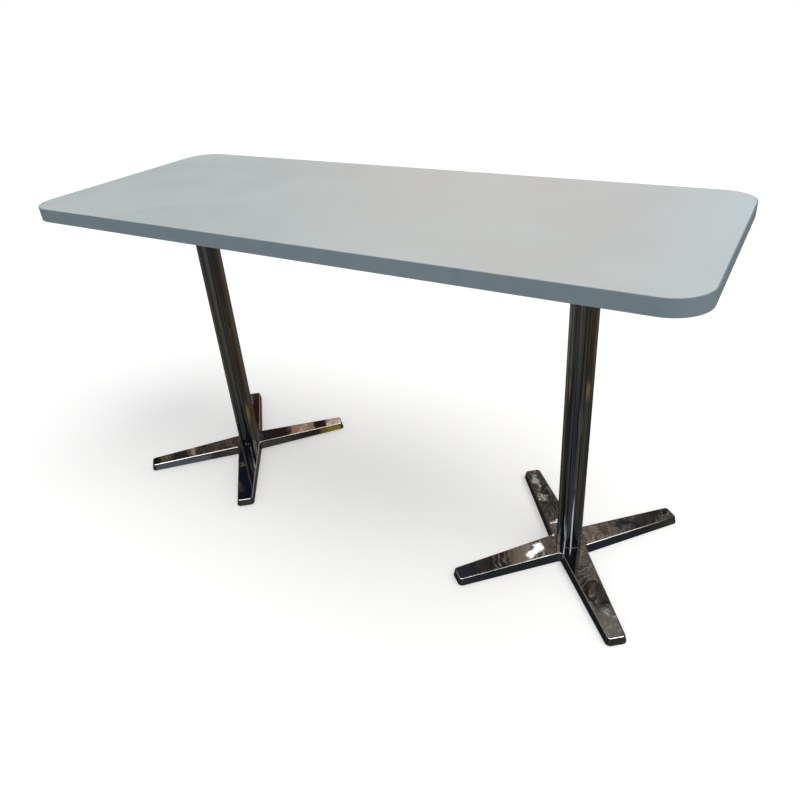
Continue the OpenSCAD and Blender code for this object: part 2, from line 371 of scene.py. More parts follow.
def shade_upright(mesh: Mesh) -> None:
    """Shades walls with a slight draft as if they stood upright: the level part of their normals is kept.

    Args:
        mesh: The shaded mesh.
    """
    normals = np.empty(3 * len(mesh.loops), np.float32)
    mesh.corner_normals.foreach_get("vector", normals)
    normals = normals.reshape(-1, 3)
    normals[:, 2] = np.where(np.abs(normals[:, 2]) < DRAFT_SLOPE, 0, normals[:, 2])
    normals /= np.linalg.norm(normals, axis=1, keepdims=True)
    mesh.normals_split_custom_set(normals)


def placed(name: str, data: bpy.types.ID) -> Object:
    """Makes an object of some data and links it to the scene.

    Args:
        name: Name of the object.
        data: Mesh, camera or light.

    Returns:
        The object.
    """
    obj = bpy.data.objects.new(name, data)
    bpy.context.scene.collection.objects.link(obj)
    return obj


def carved(body: Mesh, added: Mesh | None, cut: Mesh) -> Mesh:
    """Joins one mesh to a body and cuts another out of it.

    Args:
        body: The closed body.
        added: A closed mesh that becomes part of the body, if there is one.
        cut: Closed shells that are taken away.

    Returns:
        The carved mesh, under the body's name.
    """
    host = placed(body.name, body)
    tools = []
    for mesh, operation in ((added, "UNION"), (cut, "DIFFERENCE")):
        if mesh is None:
            continue
        tools.append(placed(mesh.name, mesh))
        modifier = host.modifiers.new(operation.lower(), "BOOLEAN")
        modifier.operation = operation
        modifier.solver = "EXACT"
        modifier.object = tools[-1]
    graph = bpy.context.evaluated_depsgraph_get()
    result = bpy.data.meshes.new_from_object(host.evaluated_get(graph), depsgraph=graph)
    for obj in (host, *tools):
        bpy.data.objects.remove(obj)
    result.name = body.name
    return result


class Graph:
    """Adds nodes to one node tree and links them."""

    def __init__(self, tree: bpy.types.NodeTree) -> None:
        """Works on a tree that is already there.

        Args:
            tree: The node tree of a material, a world or a group.
        """
        self.tree = tree

    def node(self, kind: str, inputs: dict | None = None, **settings: object) -> bpy.types.Node:
        """Adds one node.

        Args:
            kind: The node's type name.
            inputs: Input name or number, with a value to set or a socket to link from.
            settings: Attributes of the node.

        Returns:
            The node.
        """
        node = self.tree.nodes.new(kind)
        for name, value in settings.items():
            setattr(node, name, value)
        for key, value in (inputs or {}).items():
            if isinstance(value, Socket):
                self.tree.links.new(value, node.inputs[key])
            else:
                node.inputs[key].default_value = value
        return node

    def math(self, operation: str, *values: object) -> Socket:
        """Adds a Math node on values or sockets, and returns its result."""
        return self.node("ShaderNodeMath", dict(enumerate(values)), operation=operation).outputs[0]

    def mix(self, share: object, first: object, second: object, blend: str = "MIX") -> Socket:
        """Mixes two colours.

        Args:
            share: Factor or socket, 0 for the first colour.
            first: Colour or socket.
            second: Colour or socket.
            blend: Blend type.

        Returns:
            The mixed colour's socket.
        """
        inputs = {0: share, 6: first, 7: second}
        return self.node("ShaderNodeMix", inputs, data_type="RGBA", blend_type=blend).outputs[2]

    def ranged(self, value: object, low: float, high: float, ends: Pair, kind: str = "LINEAR") -> Socket:
        """Goes from one end at low to the other at high.

        Args:
            value: The socket that is looked at.
            low: Value that gives the first end.
            high: Value that gives the second end.
            ends: The two ends.
            kind: Interpolation between them.

        Returns:
            The result's socket.
        """
        inputs = {"Value": value, "From Min": low, "From Max": high, "To Min": ends[0], "To Max": ends[1]}
        return self.node("ShaderNodeMapRange", inputs, interpolation_type=kind).outputs[0]

    def span(self, value: object, low: float, high: float) -> Socket:
        """Rises smoothly from 0 at low to 1 at high."""
        return self.ranged(value, low, high, (0.0, 1.0), "SMOOTHSTEP")

    def shade(self, colour: Socket, value: object, low: float, high: float, shades: Pair) -> Socket:
        """Multiplies a colour by a factor that goes from one shade at low to the other at high."""
        return self.mix(1.0, colour, self.ranged(value, low, high, shades), "MULTIPLY")

    def noise(self, vector: Socket, scale: object, detail: float = 2.0, distortion: float = 0.0) -> Sockets:
        """Adds a noise texture on a vector socket, and returns its outputs."""
        inputs = {"Vector": vector, "Scale": scale, "Detail": detail, "Distortion": distortion}
        return self.node("ShaderNodeTexNoise", inputs).outputs

    def stretched(self, vector: Socket, factors: Point) -> Socket:
        """Multiplies a vector socket by three factors."""
        return self.node("ShaderNodeVectorMath", {0: vector, 1: factors}, operation="MULTIPLY").outputs[0]

    def bump(self, height: Socket, distance: Socket, normal: Socket | None = None) -> Socket:
        """Bends a normal by a height.

        Args:
            height: The height's socket.
            distance: Length that a height of 1 stands for.
            normal: The normal that is bent, or else the surface's own.

        Returns:
            The bent normal's socket.
        """
        inputs = {"Height": height, "Distance": distance, "Strength": 1.0}
        if normal is not None:
            inputs["Normal"] = normal
        return self.node("ShaderNodeBump", inputs).outputs["Normal"]


def mottle(graph: Graph, source: Sockets) -> Sockets:
    """Two colours in soft clouds, for laminate, castings and zinc.

    Args:
        graph: The group's graph.
        source: The group's inputs.

    Returns:
        The group's outputs.
    """
    clouds = graph.noise(source["Vector"], source["Scale"], detail=6.0, distortion=0.4)["Fac"]
    mask = graph.span(clouds, low=0.32, high=0.68)
    share = graph.math("MULTIPLY", mask, source["Amount"])
    return {"Colour": graph.mix(share, source["Colour"], source["Cloud"]), "Mask": mask}


def flecks(graph: Graph, source: Sockets) -> Sockets:
    """Small specks of a second colour in about a fifth of a pattern of cells, for plastics and board.

    Args:
        graph: The group's graph.
        source: The group's inputs.

    Returns:
        The group's outputs.
    """
    inputs = {"Vector": source["Vector"], "Scale": source["Scale"], "Randomness": 1.0}
    cells = graph.node("ShaderNodeTexVoronoi", inputs).outputs
    draw = graph.node("ShaderNodeSeparateColor", {"Color": cells["Color"]}).outputs["Red"]
    chosen = graph.math("GREATER_THAN", draw, 1 - FLECKED_SHARE)
    mask = graph.math("MULTIPLY", chosen, graph.math("LESS_THAN", cells["Distance"], source["Size"]))
    return {"Colour": graph.mix(mask, source["Colour"], source["Fleck"])}


def ripple(graph: Graph, source: Sockets) -> Sockets:
    """Surface waviness of two sizes as a normal, for plated castings, paint and laminate.

    Args:
        graph: The group's graph.
        source: The group's inputs.

    Returns:
        The group's outputs.
    """
    normal = None
    for word, detail in (("Wave", 1.5), ("Grain", 3.0)):
        noise = graph.noise(source["Vector"], source[f"{word} scale"], detail)["Fac"]
        normal = graph.bump(noise, source[f"{word} height"], normal)
    return {"Normal": normal}


def drawn_lines(graph: Graph, source: Sockets) -> Sockets:
    """Fine lines along Z, as on drawn and polished tube.

    Args:
        graph: The group's graph.
        source: The group's inputs.

    Returns:
        The group's outputs.
    """
    along = graph.stretched(source["Vector"], DRAWN_STRETCH)
    lines = graph.noise(along, source["Scale"], detail=3.0)["Fac"]
    return {"Mask": graph.span(lines, low=0.35, high=0.65), "Normal": graph.bump(lines, source["Height"])}


class Effect(Named):
    """Effects that several finishes share, each a node group that is built once, with its inputs' names."""

    MOTTLE = ("Vector", "Colour", "Cloud", "Scale", "Amount")
    FLECKS = ("Vector", "Colour", "Fleck", "Scale", "Size")
    RIPPLE = ("Vector", "Wave scale", "Wave height", "Grain scale", "Grain height")
    DRAWN_LINES = ("Vector", "Scale", "Height")

    def tree(self) -> bpy.types.NodeTree:
        """The effect's node group, built at its first use.

        Returns:
            The node group.
        """
        found = bpy.data.node_groups.get(self.label)
        if found:
            return found
        tree = bpy.data.node_groups.new(self.label, "ShaderNodeTree")
        self.add_sockets(tree, "INPUT", self.value)
        graph = Graph(tree)
        outputs = EFFECT_RECIPES[self](graph, graph.node("NodeGroupInput").outputs)
        self.add_sockets(tree, "OUTPUT", tuple(outputs))
        graph.node("NodeGroupOutput", outputs)
        return tree

    @staticmethod
    def add_sockets(tree: bpy.types.NodeTree, way: str, names: Sequence[str]) -> None:
        """Gives a group sockets, of the kinds in SOCKET_KINDS or else plain numbers.

        Args:
            tree: The group.
            way: INPUT or OUTPUT.
            names: The sockets' names.
        """
        for name in names:
            kind = SOCKET_KINDS.get(name, "NodeSocketFloat")
            tree.interface.new_socket(name, in_out=way, socket_type=kind)

    def place(self, graph: Graph, *values: object) -> Sockets:
        """Places the effect with values or sockets for its inputs, and returns its outputs."""
        return graph.node("ShaderNodeGroup", dict(enumerate(values)), node_tree=self.tree()).outputs


EFFECT_RECIPES = {
    Effect.MOTTLE: mottle,
    Effect.FLECKS: flecks,
    Effect.RIPPLE: ripple,
    Effect.DRAWN_LINES: drawn_lines,
}
SOCKET_KINDS = {
    **dict.fromkeys(("Vector", "Normal"), "NodeSocketVector"),
    **dict.fromkeys(("Colour", "Cloud", "Fleck"), "NodeSocketColor"),
}


@dataclass(frozen=True)
class Coating:
    """Laminate, plastic or paint: a clouded colour with flecks, over a wavy and grained surface.

    Clouds are a scale and an amount, flecks a scale and a size, and wave, grain and drawn a scale and a
    height. Scales are in parts per metre. Drawn lines take the place of wave and grain.
    """

    colour: Colour
    cloud: Colour
    clouds: Pair
    roughness: Pair
    wave: Pair = (0.0, 0.0)
    grain: Pair = (0.0, 0.0)
    fleck: Colour | None = None
    flecks: Pair = (0.0, 0.0)
    drawn: Pair | None = None
    metallic: float = 0.0

    def material(self, name: str) -> bpy.types.Material:
        """Makes the finish's material.

        Args:
            name: Name of the material.

        Returns:
            The material.
        """
        material = bpy.data.materials.new(name)
        material.use_nodes = True
        material.node_tree.nodes.clear()
        graph = Graph(material.node_tree)
        vector = graph.node("ShaderNodeTexCoord").outputs["Object"]
        clouds = Effect.MOTTLE.place(graph, vector, linear(self.colour), linear(self.cloud), *self.clouds)
        colour, mask = clouds["Colour"], clouds["Mask"]
        if self.fleck:
            colour = Effect.FLECKS.place(graph, vector, colour, linear(self.fleck), *self.flecks)["Colour"]
        if self.drawn:
            surface = Effect.DRAWN_LINES.place(graph, vector, *self.drawn)
            mask = surface["Mask"]
        else:
            surface = Effect.RIPPLE.place(graph, vector, *self.wave, *self.grain)
        shader = graph.node("ShaderNodeBsdfPrincipled", {
            "Base Color": colour, "Metallic": self.metallic,
            "Roughness": graph.ranged(mask, 0.0, 1.0, self.roughness), "Normal": surface["Normal"],
        })
        graph.node("ShaderNodeOutputMaterial", {"Surface": shader.outputs["BSDF"]})
        return material


@dataclass(frozen=True)
class Metal(Coating):
    """Bare, plated or drawn metal: its clouds are stains."""

    metallic: float = 1.0


class Finish(Enum):
    """Every finish on the table. The value is the recipe, and the slot is the record's own name for it."""

    TOP_LAMINATE = Coating(
        (191, 201, 201), (195, 205, 205), (9.0, 0.6), (0.34, 0.40), (14.0, 2e-5), (2600.0, 4e-6),
        (184, 194, 194), (900.0, 0.18))
    EDGE_BAND = Coating(
        (121, 138, 147), (127, 143, 151), (30.0, 0.6), (0.38, 0.5), (60.0, 2e-5), (1500.0, 8e-6),
        (92, 104, 111), (420.0, 0.16))
    BACKING_LAMINATE = Coating(
        (206, 203, 194), (196, 193, 184), (12.0, 0.7), (0.5, 0.62), (20.0, 3e-5), (1200.0, 1e-5),
        (176, 172, 162), (500.0, 0.2))
    PARTICLE_BOARD = Coating(
        (178, 142, 98), (150, 112, 72), (160.0, 0.9), (0.75, 0.9), (120.0, 1e-4), (900.0, 1e-4),
        (214, 186, 140), (380.0, 0.4))
    BLACK_CASTING = Coating(
        (34, 34, 36), (42, 42, 44), (40.0, 0.7), (0.38, 0.5), (70.0, 1e-4), (900.0, 3e-5),
        (26, 26, 27), (700.0, 0.3))
    GLIDE_NYLON = Coating(
        (30, 30, 31), (37, 37, 38), (120.0, 0.7), (0.42, 0.55), (90.0, 3e-5), (2400.0, 1e-5),
        (46, 46, 46), (900.0, 0.2))
    CHROME_TUBE = Metal(
        (196, 197, 198), (188, 187, 184), (12.0, 0.5), (0.01, 0.035), drawn=(260.0, 2.5e-6))
    CHROME_CASTING = Metal(
        (196, 195, 194), (186, 182, 176), (45.0, 0.8), (0.01, 0.03), (34.0, 7e-5), (420.0, 1e-6))
    ZINC_STEEL = Metal(
        (178, 180, 182), (160, 160, 156), (90.0, 0.8), (0.26, 0.42), (120.0, 3e-5), (1600.0, 8e-6))
    SCREW_STEEL = Metal(
        (196, 182, 130), (168, 158, 118), (160.0, 0.8), (0.24, 0.4), (200.0, 2e-5), (2000.0, 6e-6))
    STUD_STEEL = Metal(
        (174, 176, 178), (150, 150, 148), (140.0, 0.8), (0.28, 0.45), (160.0, 2e-5), (1800.0, 8e-6))

    @property
    def slot(self) -> str:
        """The record's material slot."""
        return self.name.lower()

    def material(self) -> bpy.types.Material:
        """The finish's material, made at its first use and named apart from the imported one."""
        name = f"{self.slot}_finish"
        return bpy.data.materials.get(name) or self.value.material(name)


def dress(node: str, finish: Finish) -> None:
    """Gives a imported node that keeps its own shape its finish.

    Args:
        node: Name of the node.
        finish: Its finish.
    """
    obj = bpy.data.objects[node]
    if not obj.material_slots:
        obj.data.materials.append(None)
    for material_slot in obj.material_slots:
        material_slot.material = finish.material()
    LOG.info("%s keeps its packed shape, in %s", node, finish.slot)


def fit_piece(name: str, mesh: Mesh, finish: Finish, node: str, body: str = TABLE) -> Object:
    """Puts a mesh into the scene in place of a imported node.

    Args:
        name: Name of the piece.
        mesh: Its finished mesh, in place.
        finish: Its finish.
        node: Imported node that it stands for.
        body: Body that it moves with.

    Returns:
        The piece.
    """
    mesh.materials.clear()
    mesh.materials.append(finish.material())
    piece = placed(name, shaded(mesh))
    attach(piece, body)
    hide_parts(node)
    LOG.info("%s: %d faces, rides on %s, stands for %s", name, len(mesh.polygons), body, node)
    return piece


@dataclass(frozen=True)
class Upright:
    """Middle of a node in plan, its lowest and highest level, and half its length along X."""

    x: float
    y: float
    low: float
    high: float
    radius: float

    @classmethod
    def of(cls, node: str) -> "Upright":
        """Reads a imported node's box.

        Args:
            node: Name of the node.

        Returns:
            The node's upright.
        """
        low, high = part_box(node)
        middle = (low + high) / 2
        return cls(middle.x, middle.y, low.z, high.z, (high.x - low.x) / 2)

    def at(self, height: float = 0.0) -> Point:
        """The point on the node's axis at a height."""
        return self.x, self.y, height


def level(height: float) -> Height:
    """A flat level, as a function of plan points."""
    return lambda plan: np.full(plan.shape[:-1], height)


def thread(
    rod: Upright, pitch: float, rings: int = 5, segments: int = 24, depth: float = 0.61
) -> np.ndarray:
    """Threaded rod as a grid of points round its axis, in place.

    At turn t = z / pitch - angle / 360 the radius is R - depth * |2 frac(t) - 1|. It shrinks to the core
    over the last pitch at both ends, and the ends close on the axis.

    Args:
        rod: The rod's place, ends and outer radius.
        pitch: Rise of one turn.
        rings: Steps along each pitch.
        segments: Steps round the axis.
        depth: Depth of the thread, as a share of the pitch.

    Returns:
        The grid, with a row for each angle and a column for each level.
    """
    angle = steps_round(segments)
    z = np.linspace(rod.low, rod.high, round((rod.high - rod.low) / pitch * rings) + 1)[None, :]
    tooth = np.abs(2 * ((z / pitch - angle / math.tau) % 1) - 1)
    ends = np.clip(np.minimum(z - rod.low, rod.high - z) / pitch, 0, 1)
    r = rod.radius - depth * pitch + ends * (depth * pitch) * (1 - tooth)
    poles = [np.broadcast_to([0, 0, end], (segments, 1, 3)) for end in (rod.low, rod.high)]
    return np.hstack([poles[0], around(r, angle, z), poles[1]]) + np.array(rod.at())


@dataclass
class Board:
    """The top: a particle board core between two laminates, inside an edge band."""

    corner_r: float = 65 * MM
    corner_steps: int = 28
    corner_guard: float = 1 * MM
    arris_r: float = 0.7 * MM
    inner_arris_r: float = 0.12 * MM
    arris_steps: int = 5
    arris_guard: float = 0.3 * MM

    def plan(self, inset: float) -> tuple[np.ndarray, np.ndarray]:
        """Rounded rectangle of the band's box, drawn in by an inset.

        Args:
            inset: Distance inside the band's outer face.

        Returns:
            Points and outward normals.
        """
        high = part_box("edge_band")[1]
        x, y, r = high.x - inset, high.y - inset, self.corner_r - inset
        corners = [(x, -y, r), (x, y, r), (-x, y, r), (-x, -y, r)]
        return soft_outline(corners, self.corner_steps, guard=self.corner_guard)

    def band(self) -> Mesh:
        """Edge band: its rounded section carried round the rectangle, at outline - inset * normal.

        Returns:
            The mesh.
        """
        low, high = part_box("edge_band")
        width = high.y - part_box("board_core")[1].y
        outer, inner = self.arris_r, self.inner_arris_r
        section, _ = soft_outline([
            (0, low.z, outer), (0, high.z, outer), (width, high.z, inner), (width, low.z, inner),
        ], self.arris_steps, guard=self.arris_guard)
        points, normals = self.plan(0)
        plan = points[:, None] - normals[:, None] * section[:, :1]
        heights = np.broadcast_to(section[:, 1:], (*plan.shape[:2], 1))
        return Skin().grid(np.dstack([plan, heights]), wrap_columns=True).mesh("edge_band")

    def laminate(self) -> Mesh:
        """Top laminate: a thin sheet with a trimmed edge, inside the band.

        Returns:
            The mesh.
        """
        low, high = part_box("top_laminate")
        points, normals = self.plan(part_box("edge_band")[1].y - high.y)
        sheet = Outline(points, normals, np.zeros_like(points))
        arris = self.inner_arris_r
        return Skin().solid(sheet, level(low.z), level(high.z), arris, arris).mesh("top_laminate")

    def build(self) -> None:
        """Makes the band and the top sheet, and dresses the hidden layers."""
        fit_piece("edge_band_strip", self.band(), Finish.EDGE_BAND, "edge_band")
        fit_piece("top_laminate_sheet", self.laminate(), Finish.TOP_LAMINATE, "top_laminate")
        dress("backing_laminate", Finish.BACKING_LAMINATE)
        dress("board_core", Finish.PARTICLE_BOARD)


@dataclass(frozen=True)
class CrossPlan:
    """Plan of four tapering arms about an axis, with round tips and round inner corners.

    Half an arm's width at a distance x from the axis is root_half_w - taper * x. The arms' directions are
    in rising order, in degrees.
    """

    angles: tuple[float, ...]
    root_half_w: float
    taper: float
    reach: float
    tip_r: float
    crotch_r: float
    stations: int = 12
    arc_steps: int = 8
    guard: float = 0.8 * MM

    def crotch(self, half: float) -> Pair:
        """Round inner corner between two arms that stand a half angle either side of its bisector.

        The arms' edges meet at a distance c along the bisector, and with e = half + atan(taper) the arc's
        centre is at c + r / sin(e). It touches the edges at r / tan(e) from where they meet.

        Args:
            half: Half the angle between the two arms, in degrees.

        Returns:
            Distance of the arc's centre along the bisector, and of its touching point along an arm.
        """
        lean = math.atan(self.taper)
        edge = math.radians(half) + lean
        s, c = math.sin(math.radians(half)), math.cos(math.radians(half))
        meeting = self.root_half_w / (s + self.taper * c)
        touch = meeting * c + self.crotch_r / math.tan(edge) * math.cos(lean)
        return meeting + self.crotch_r / math.sin(edge), touch

    def along(self, plan: np.ndarray) -> np.ndarray:
        """Distance of plan points from the axis, along the arm that they are nearest to."""
        directions = np.stack([turned(np.array([1.0, 0.0]), angle) for angle in self.angles])
        return (plan @ directions.T).max(axis=-1)

    def half_arm(self, touch: float, first: float) -> tuple[np.ndarray, np.ndarray, np.ndarray]:
        """Outline of one arm's left half, from the middle of its tip back to its inner corner.

        Args:
            touch: Distance along the arm where the inner corner's arc starts.
            first: Distance along the arm of the spine's first point.

        Returns:
            Points, normals and spine points, with the arm along X.
        """
        lean = math.atan(self.taper)
        centre_x = self.reach - self.tip_r
        centre_y = self.root_half_w - self.taper * centre_x - self.tip_r / math.cos(lean)
        turn = np.linspace(0, math.pi / 2 - lean, self.arc_steps + 1)
        arc_normals = np.stack([np.cos(turn), np.sin(turn)], axis=-1)
        arc = np.array([centre_x, centre_y]) + self.tip_r * arc_normals
        last = arc[-1, 0] - self.guard
        x = np.concatenate([np.linspace(last, first, self.stations), [touch + self.guard, touch]])
        side = np.stack([x, self.root_half_w - self.taper * x], axis=-1)
        end = np.array([[self.reach, max(centre_y - self.guard, centre_y / 2)]])
        points = np.vstack([end, arc, side])
        side_normals = np.broadcast_to([math.sin(lean), math.cos(lean)], side.shape)
        normals = np.vstack([[[1.0, 0.0]], arc_normals, side_normals])
        spine_x = np.clip(points[:, 0], first, centre_x)
        return points, normals, np.stack([spine_x, 0 * spine_x], axis=-1)

    def outline(self) -> Outline:
        """The cross's outline, arm after arm, anticlockwise.

        Returns:
            The outline.
        """
        count = len(self.angles)
        gaps = [((self.angles[(i + 1) % count] - self.angles[i]) % 360) / 2 for i in range(count)]
        first = max(self.crotch(gap)[1] for gap in gaps) + 2 * self.guard
        lean = math.degrees(math.atan(self.taper))
        points, normals, spine = [], [], []
        for i, angle in enumerate(self.angles):
            right = self.half_arm(self.crotch(gaps[i - 1])[1], first)
            left = self.half_arm(self.crotch(gaps[i])[1], first)
            mirrored = [part[::-1] * np.array([1, -1]) for part in right]
            for gathered, one, other in zip((points, normals, spine), mirrored, left):
                gathered.append(turned(np.vstack([one, other]), angle))
            centre = turned(np.array([self.crotch(gaps[i])[0], 0.0]), angle + gaps[i])
            sweep = np.linspace(90 - lean, 2 * gaps[i] - 90 + lean, self.arc_steps + 1)[1:-1] + angle
            arc_normals = np.stack([np.cos(np.radians(sweep)), np.sin(np.radians(sweep))], axis=-1)
            points.append(centre - self.crotch_r * arc_normals)
            normals.append(arc_normals)
            spine.append(np.zeros_like(arc_normals))
        return Outline(np.vstack(points), np.vstack(normals), np.vstack(spine))


@dataclass
class ColumnPart:
    """A part of one clamped column, in line with its tube."""

    side: Side

    def __post_init__(self) -> None:
        """Reads the tube's place."""
        self.tube = self.upright("column")

    def named(self, word: str) -> str:
        """A name that starts with the column's side."""
        return f"{self.side.label}_{word}"

    def upright(self, node: str) -> Upright:
        """The upright of one of this side's nodes."""
        return Upright.of(self.named(node))

    def fit(self, word: str, shape: Skin | Mesh, finish: Finish, node: str, body: str = TABLE) -> Object:
        """Puts a shape into the scene in place of one of this side's nodes.

        Args:
            word: The piece's name after its side.
            shape: Its skin or mesh.
            finish: Its finish.
            node: The node's name after its side.
            body: Body that it moves with.

        Returns:
            The piece.
        """
        node = self.named(node)
        mesh = shape.mesh(node) if isinstance(shape, Skin) else shape
        return fit_piece(self.named(word), mesh, finish, node, body)


@dataclass
class Column(ColumnPart):
    """One chromed tube, from its foot up to its spider."""

    wall: float = 2 * MM
    outer_r: float = 0.9 * MM
    inner_r: float = 0.3 * MM
    guard: float = 0.4 * MM
    arc_steps: int = 4
    segments: int = 128

    def build(self) -> None:
        """Makes the tube as a closed section turned about its axis."""
        low, high, outer = self.tube.low, self.tube.high, self.tube.radius
        inner = outer - self.wall
        section, _ = soft_outline([
            (inner, low, self.inner_r), (outer, low, self.outer_r),
            (outer, high, self.outer_r), (inner, high, self.inner_r),
        ], self.arc_steps, guard=self.guard)
        skin = Skin().revolve(section, self.segments, closed=True, place=self.tube.at())
        self.fit("tube", skin, Finish.CHROME_TUBE, "column")


@dataclass
class Casting(ColumnPart):
    """What foot and spider share: a nut recess, a hole for the rod, and a spigot that enters the tube."""

    seat_web: float = 6 * MM
    recess_r: float = 16 * MM
    rod_hole_r: float = 6.5 * MM
    spigot_r: float = 24.85 * MM
    spigot_l: float = 8 * MM
    spigot_edge: float = 1 * MM
    over: float = 1 * MM
    hub_segments: int = 96
    bore_segments: int = 64

    def cast(self, node: str, body: Skin, hub: Sequence[Point], cut: Skin) -> Mesh:
        """Joins a turned hub to a body, takes its hollows out and stands it in line with the tube.

        Args:
            node: The node's name after its side.
            body: The arms, about the origin.
            hub: Radius, height and edge radius of the hub's profile, from the axis back to it.
            cut: What is taken away, about the origin.

        Returns:
            The casting's mesh.
        """
        profile, _ = soft_outline(hub, closed=False)
        added = Skin().revolve(profile, self.hub_segments, closed=False)
        skins = (body, added, cut)
        names = (self.named(node), "hub", "hollows")
        return carved(*(skin.moved(self.tube.at()).mesh(name) for skin, name in zip(skins, names)))


@dataclass
class Foot(Casting):
    """One chromed cast cross: arms that fall to round tips, with ribbed hollows and glide seats below."""

    reach: float = 265 * MM
    root_half_w: float = 30.25 * MM
    tip_half_w: float = 18.25 * MM
    tip_r: float = 7 * MM
    crotch_r: float = 7 * MM
    tip_h: float = 18 * MM
    seat_reach: float = 33 * MM
    edge_r: float = 2.3 * MM
    rim_r: float = 0.6 * MM
    draft: float = 2.6 * MM
    wall: float = 5 * MM
    roof: float = 5 * MM
    rib: float = 5 * MM
    hub_margin: float = 14 * MM
    pocket_r: float = 3 * MM
    pocket_steps: int = 5
    pocket_mouth_r: float = 0.2 * MM
    pocket_roof_r: float = 2 * MM
    pad_gap: float = 1 * MM
    pad_top_gap: float = 0.2 * MM
    thread_gap: float = 0.05 * MM
    glide_segments: int = 48
    groove_w: float = 2 * MM
    groove_inside: float = 0.5 * MM
    groove_depth: float = 1.5 * MM

    def __post_init__(self) -> None:
        """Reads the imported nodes' levels and works out the plan."""
        super().__post_init__()
        self.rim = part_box(self.named("foot"))[0].z
        taper = (self.root_half_w - self.tip_half_w) / self.reach
        self.plan = CrossPlan(ARM_ANGLES, self.root_half_w, taper, self.reach, self.tip_r, self.crotch_r)

    def top(self, plan: np.ndarray) -> np.ndarray:
        """Level of the casting's top: flat round the tube, then falling evenly along each arm."""
        fall = (self.tube.low - self.tip_h) / (self.reach - self.seat_reach)
        return self.tube.low - fall * np.maximum(self.plan.along(plan) - self.seat_reach, 0)

    def pockets(self, skin: Skin) -> None:
        """Adds the two hollows of each arm, either side of its rib.

        Args:
            skin: The skin of what is cut out.
        """
        pad = self.upright("front_outer_pad")
        glide_x = math.hypot(pad.x - self.tube.x, pad.y - self.tube.y)
        start = self.tube.radius + self.hub_margin
        end = glide_x - pad.radius - self.pad_gap - self.wall
        middle = (start + end) / 2
        for x0, x1 in ((start, middle - self.rib / 2), (middle + self.rib / 2, end)):
            y0, y1 = (self.root_half_w - self.plan.taper * x - self.wall for x in (x0, x1))
            corners = [(x, y, self.pocket_r) for x, y in ((x0, -y0), (x1, -y1), (x1, y1), (x0, y0))]
            shape = Outline.rounded(corners, self.pocket_steps)
            roof = level(float(self.top(turned(np.array([x1, 0.0]), ARM_ANGLES[0]))) - self.roof)
            for angle in ARM_ANGLES:
                one = shape.turned(angle)
                skin.solid(one, level(-self.over), roof, self.pocket_mouth_r, self.pocket_roof_r)

    def glide_seats(self, skin: Skin) -> None:
        """Adds each glide's recess with its tapped hole.

        Args:
            skin: The skin of what is cut out.
        """
        for arm in Arm:
            pad, stud = self.upright(f"{arm.label}_pad"), self.upright(f"{arm.label}_stud")
            recess, hole = pad.radius + self.pad_gap, stud.radius + self.thread_gap
            ceiling, end = pad.high + self.pad_top_gap, stud.high + self.pad_top_gap
            profile = bore((recess, -self.over), (recess, ceiling), (hole, ceiling), (hole, end))
            place = (pad.x - self.tube.x, pad.y - self.tube.y, 0)
            skin.revolve(profile, self.glide_segments, closed=False, place=place)

    def build(self) -> None:
        """Casts the cross with its spigot, hollows it from below and puts it into the scene."""
        hub = self.tube.low
        root, seat, end = hub - self.seat_web / 2, hub - self.seat_web, hub + self.spigot_l
        body = Skin().solid(
            self.plan.outline(), level(self.rim), self.top, self.rim_r, self.edge_r, self.draft)
        spigot = [
            (0, root, 0), (self.spigot_r, root, 0), (self.spigot_r, end, self.spigot_edge), (0, end, 0)]
        rod_way = bore(
            (self.recess_r, -self.over), (self.recess_r, seat),
            (self.rod_hole_r, seat), (self.rod_hole_r, end + self.over))
        inside, outside = self.tube.radius - self.groove_inside, self.tube.radius + self.groove_w
        low, high = hub - self.groove_depth, hub + self.over
        groove = np.array([(inside, low), (outside, low), (outside, high), (inside, high)])
        cut = Skin().revolve(rod_way, self.bore_segments, closed=False)
        cut.revolve(groove, self.hub_segments, closed=True)
        self.pockets(cut)
        self.glide_seats(cut)
        mesh = self.cast("foot", body, spigot, cut)
        shade_upright(self.fit("foot_casting", mesh, Finish.CHROME_CASTING, "foot").data)


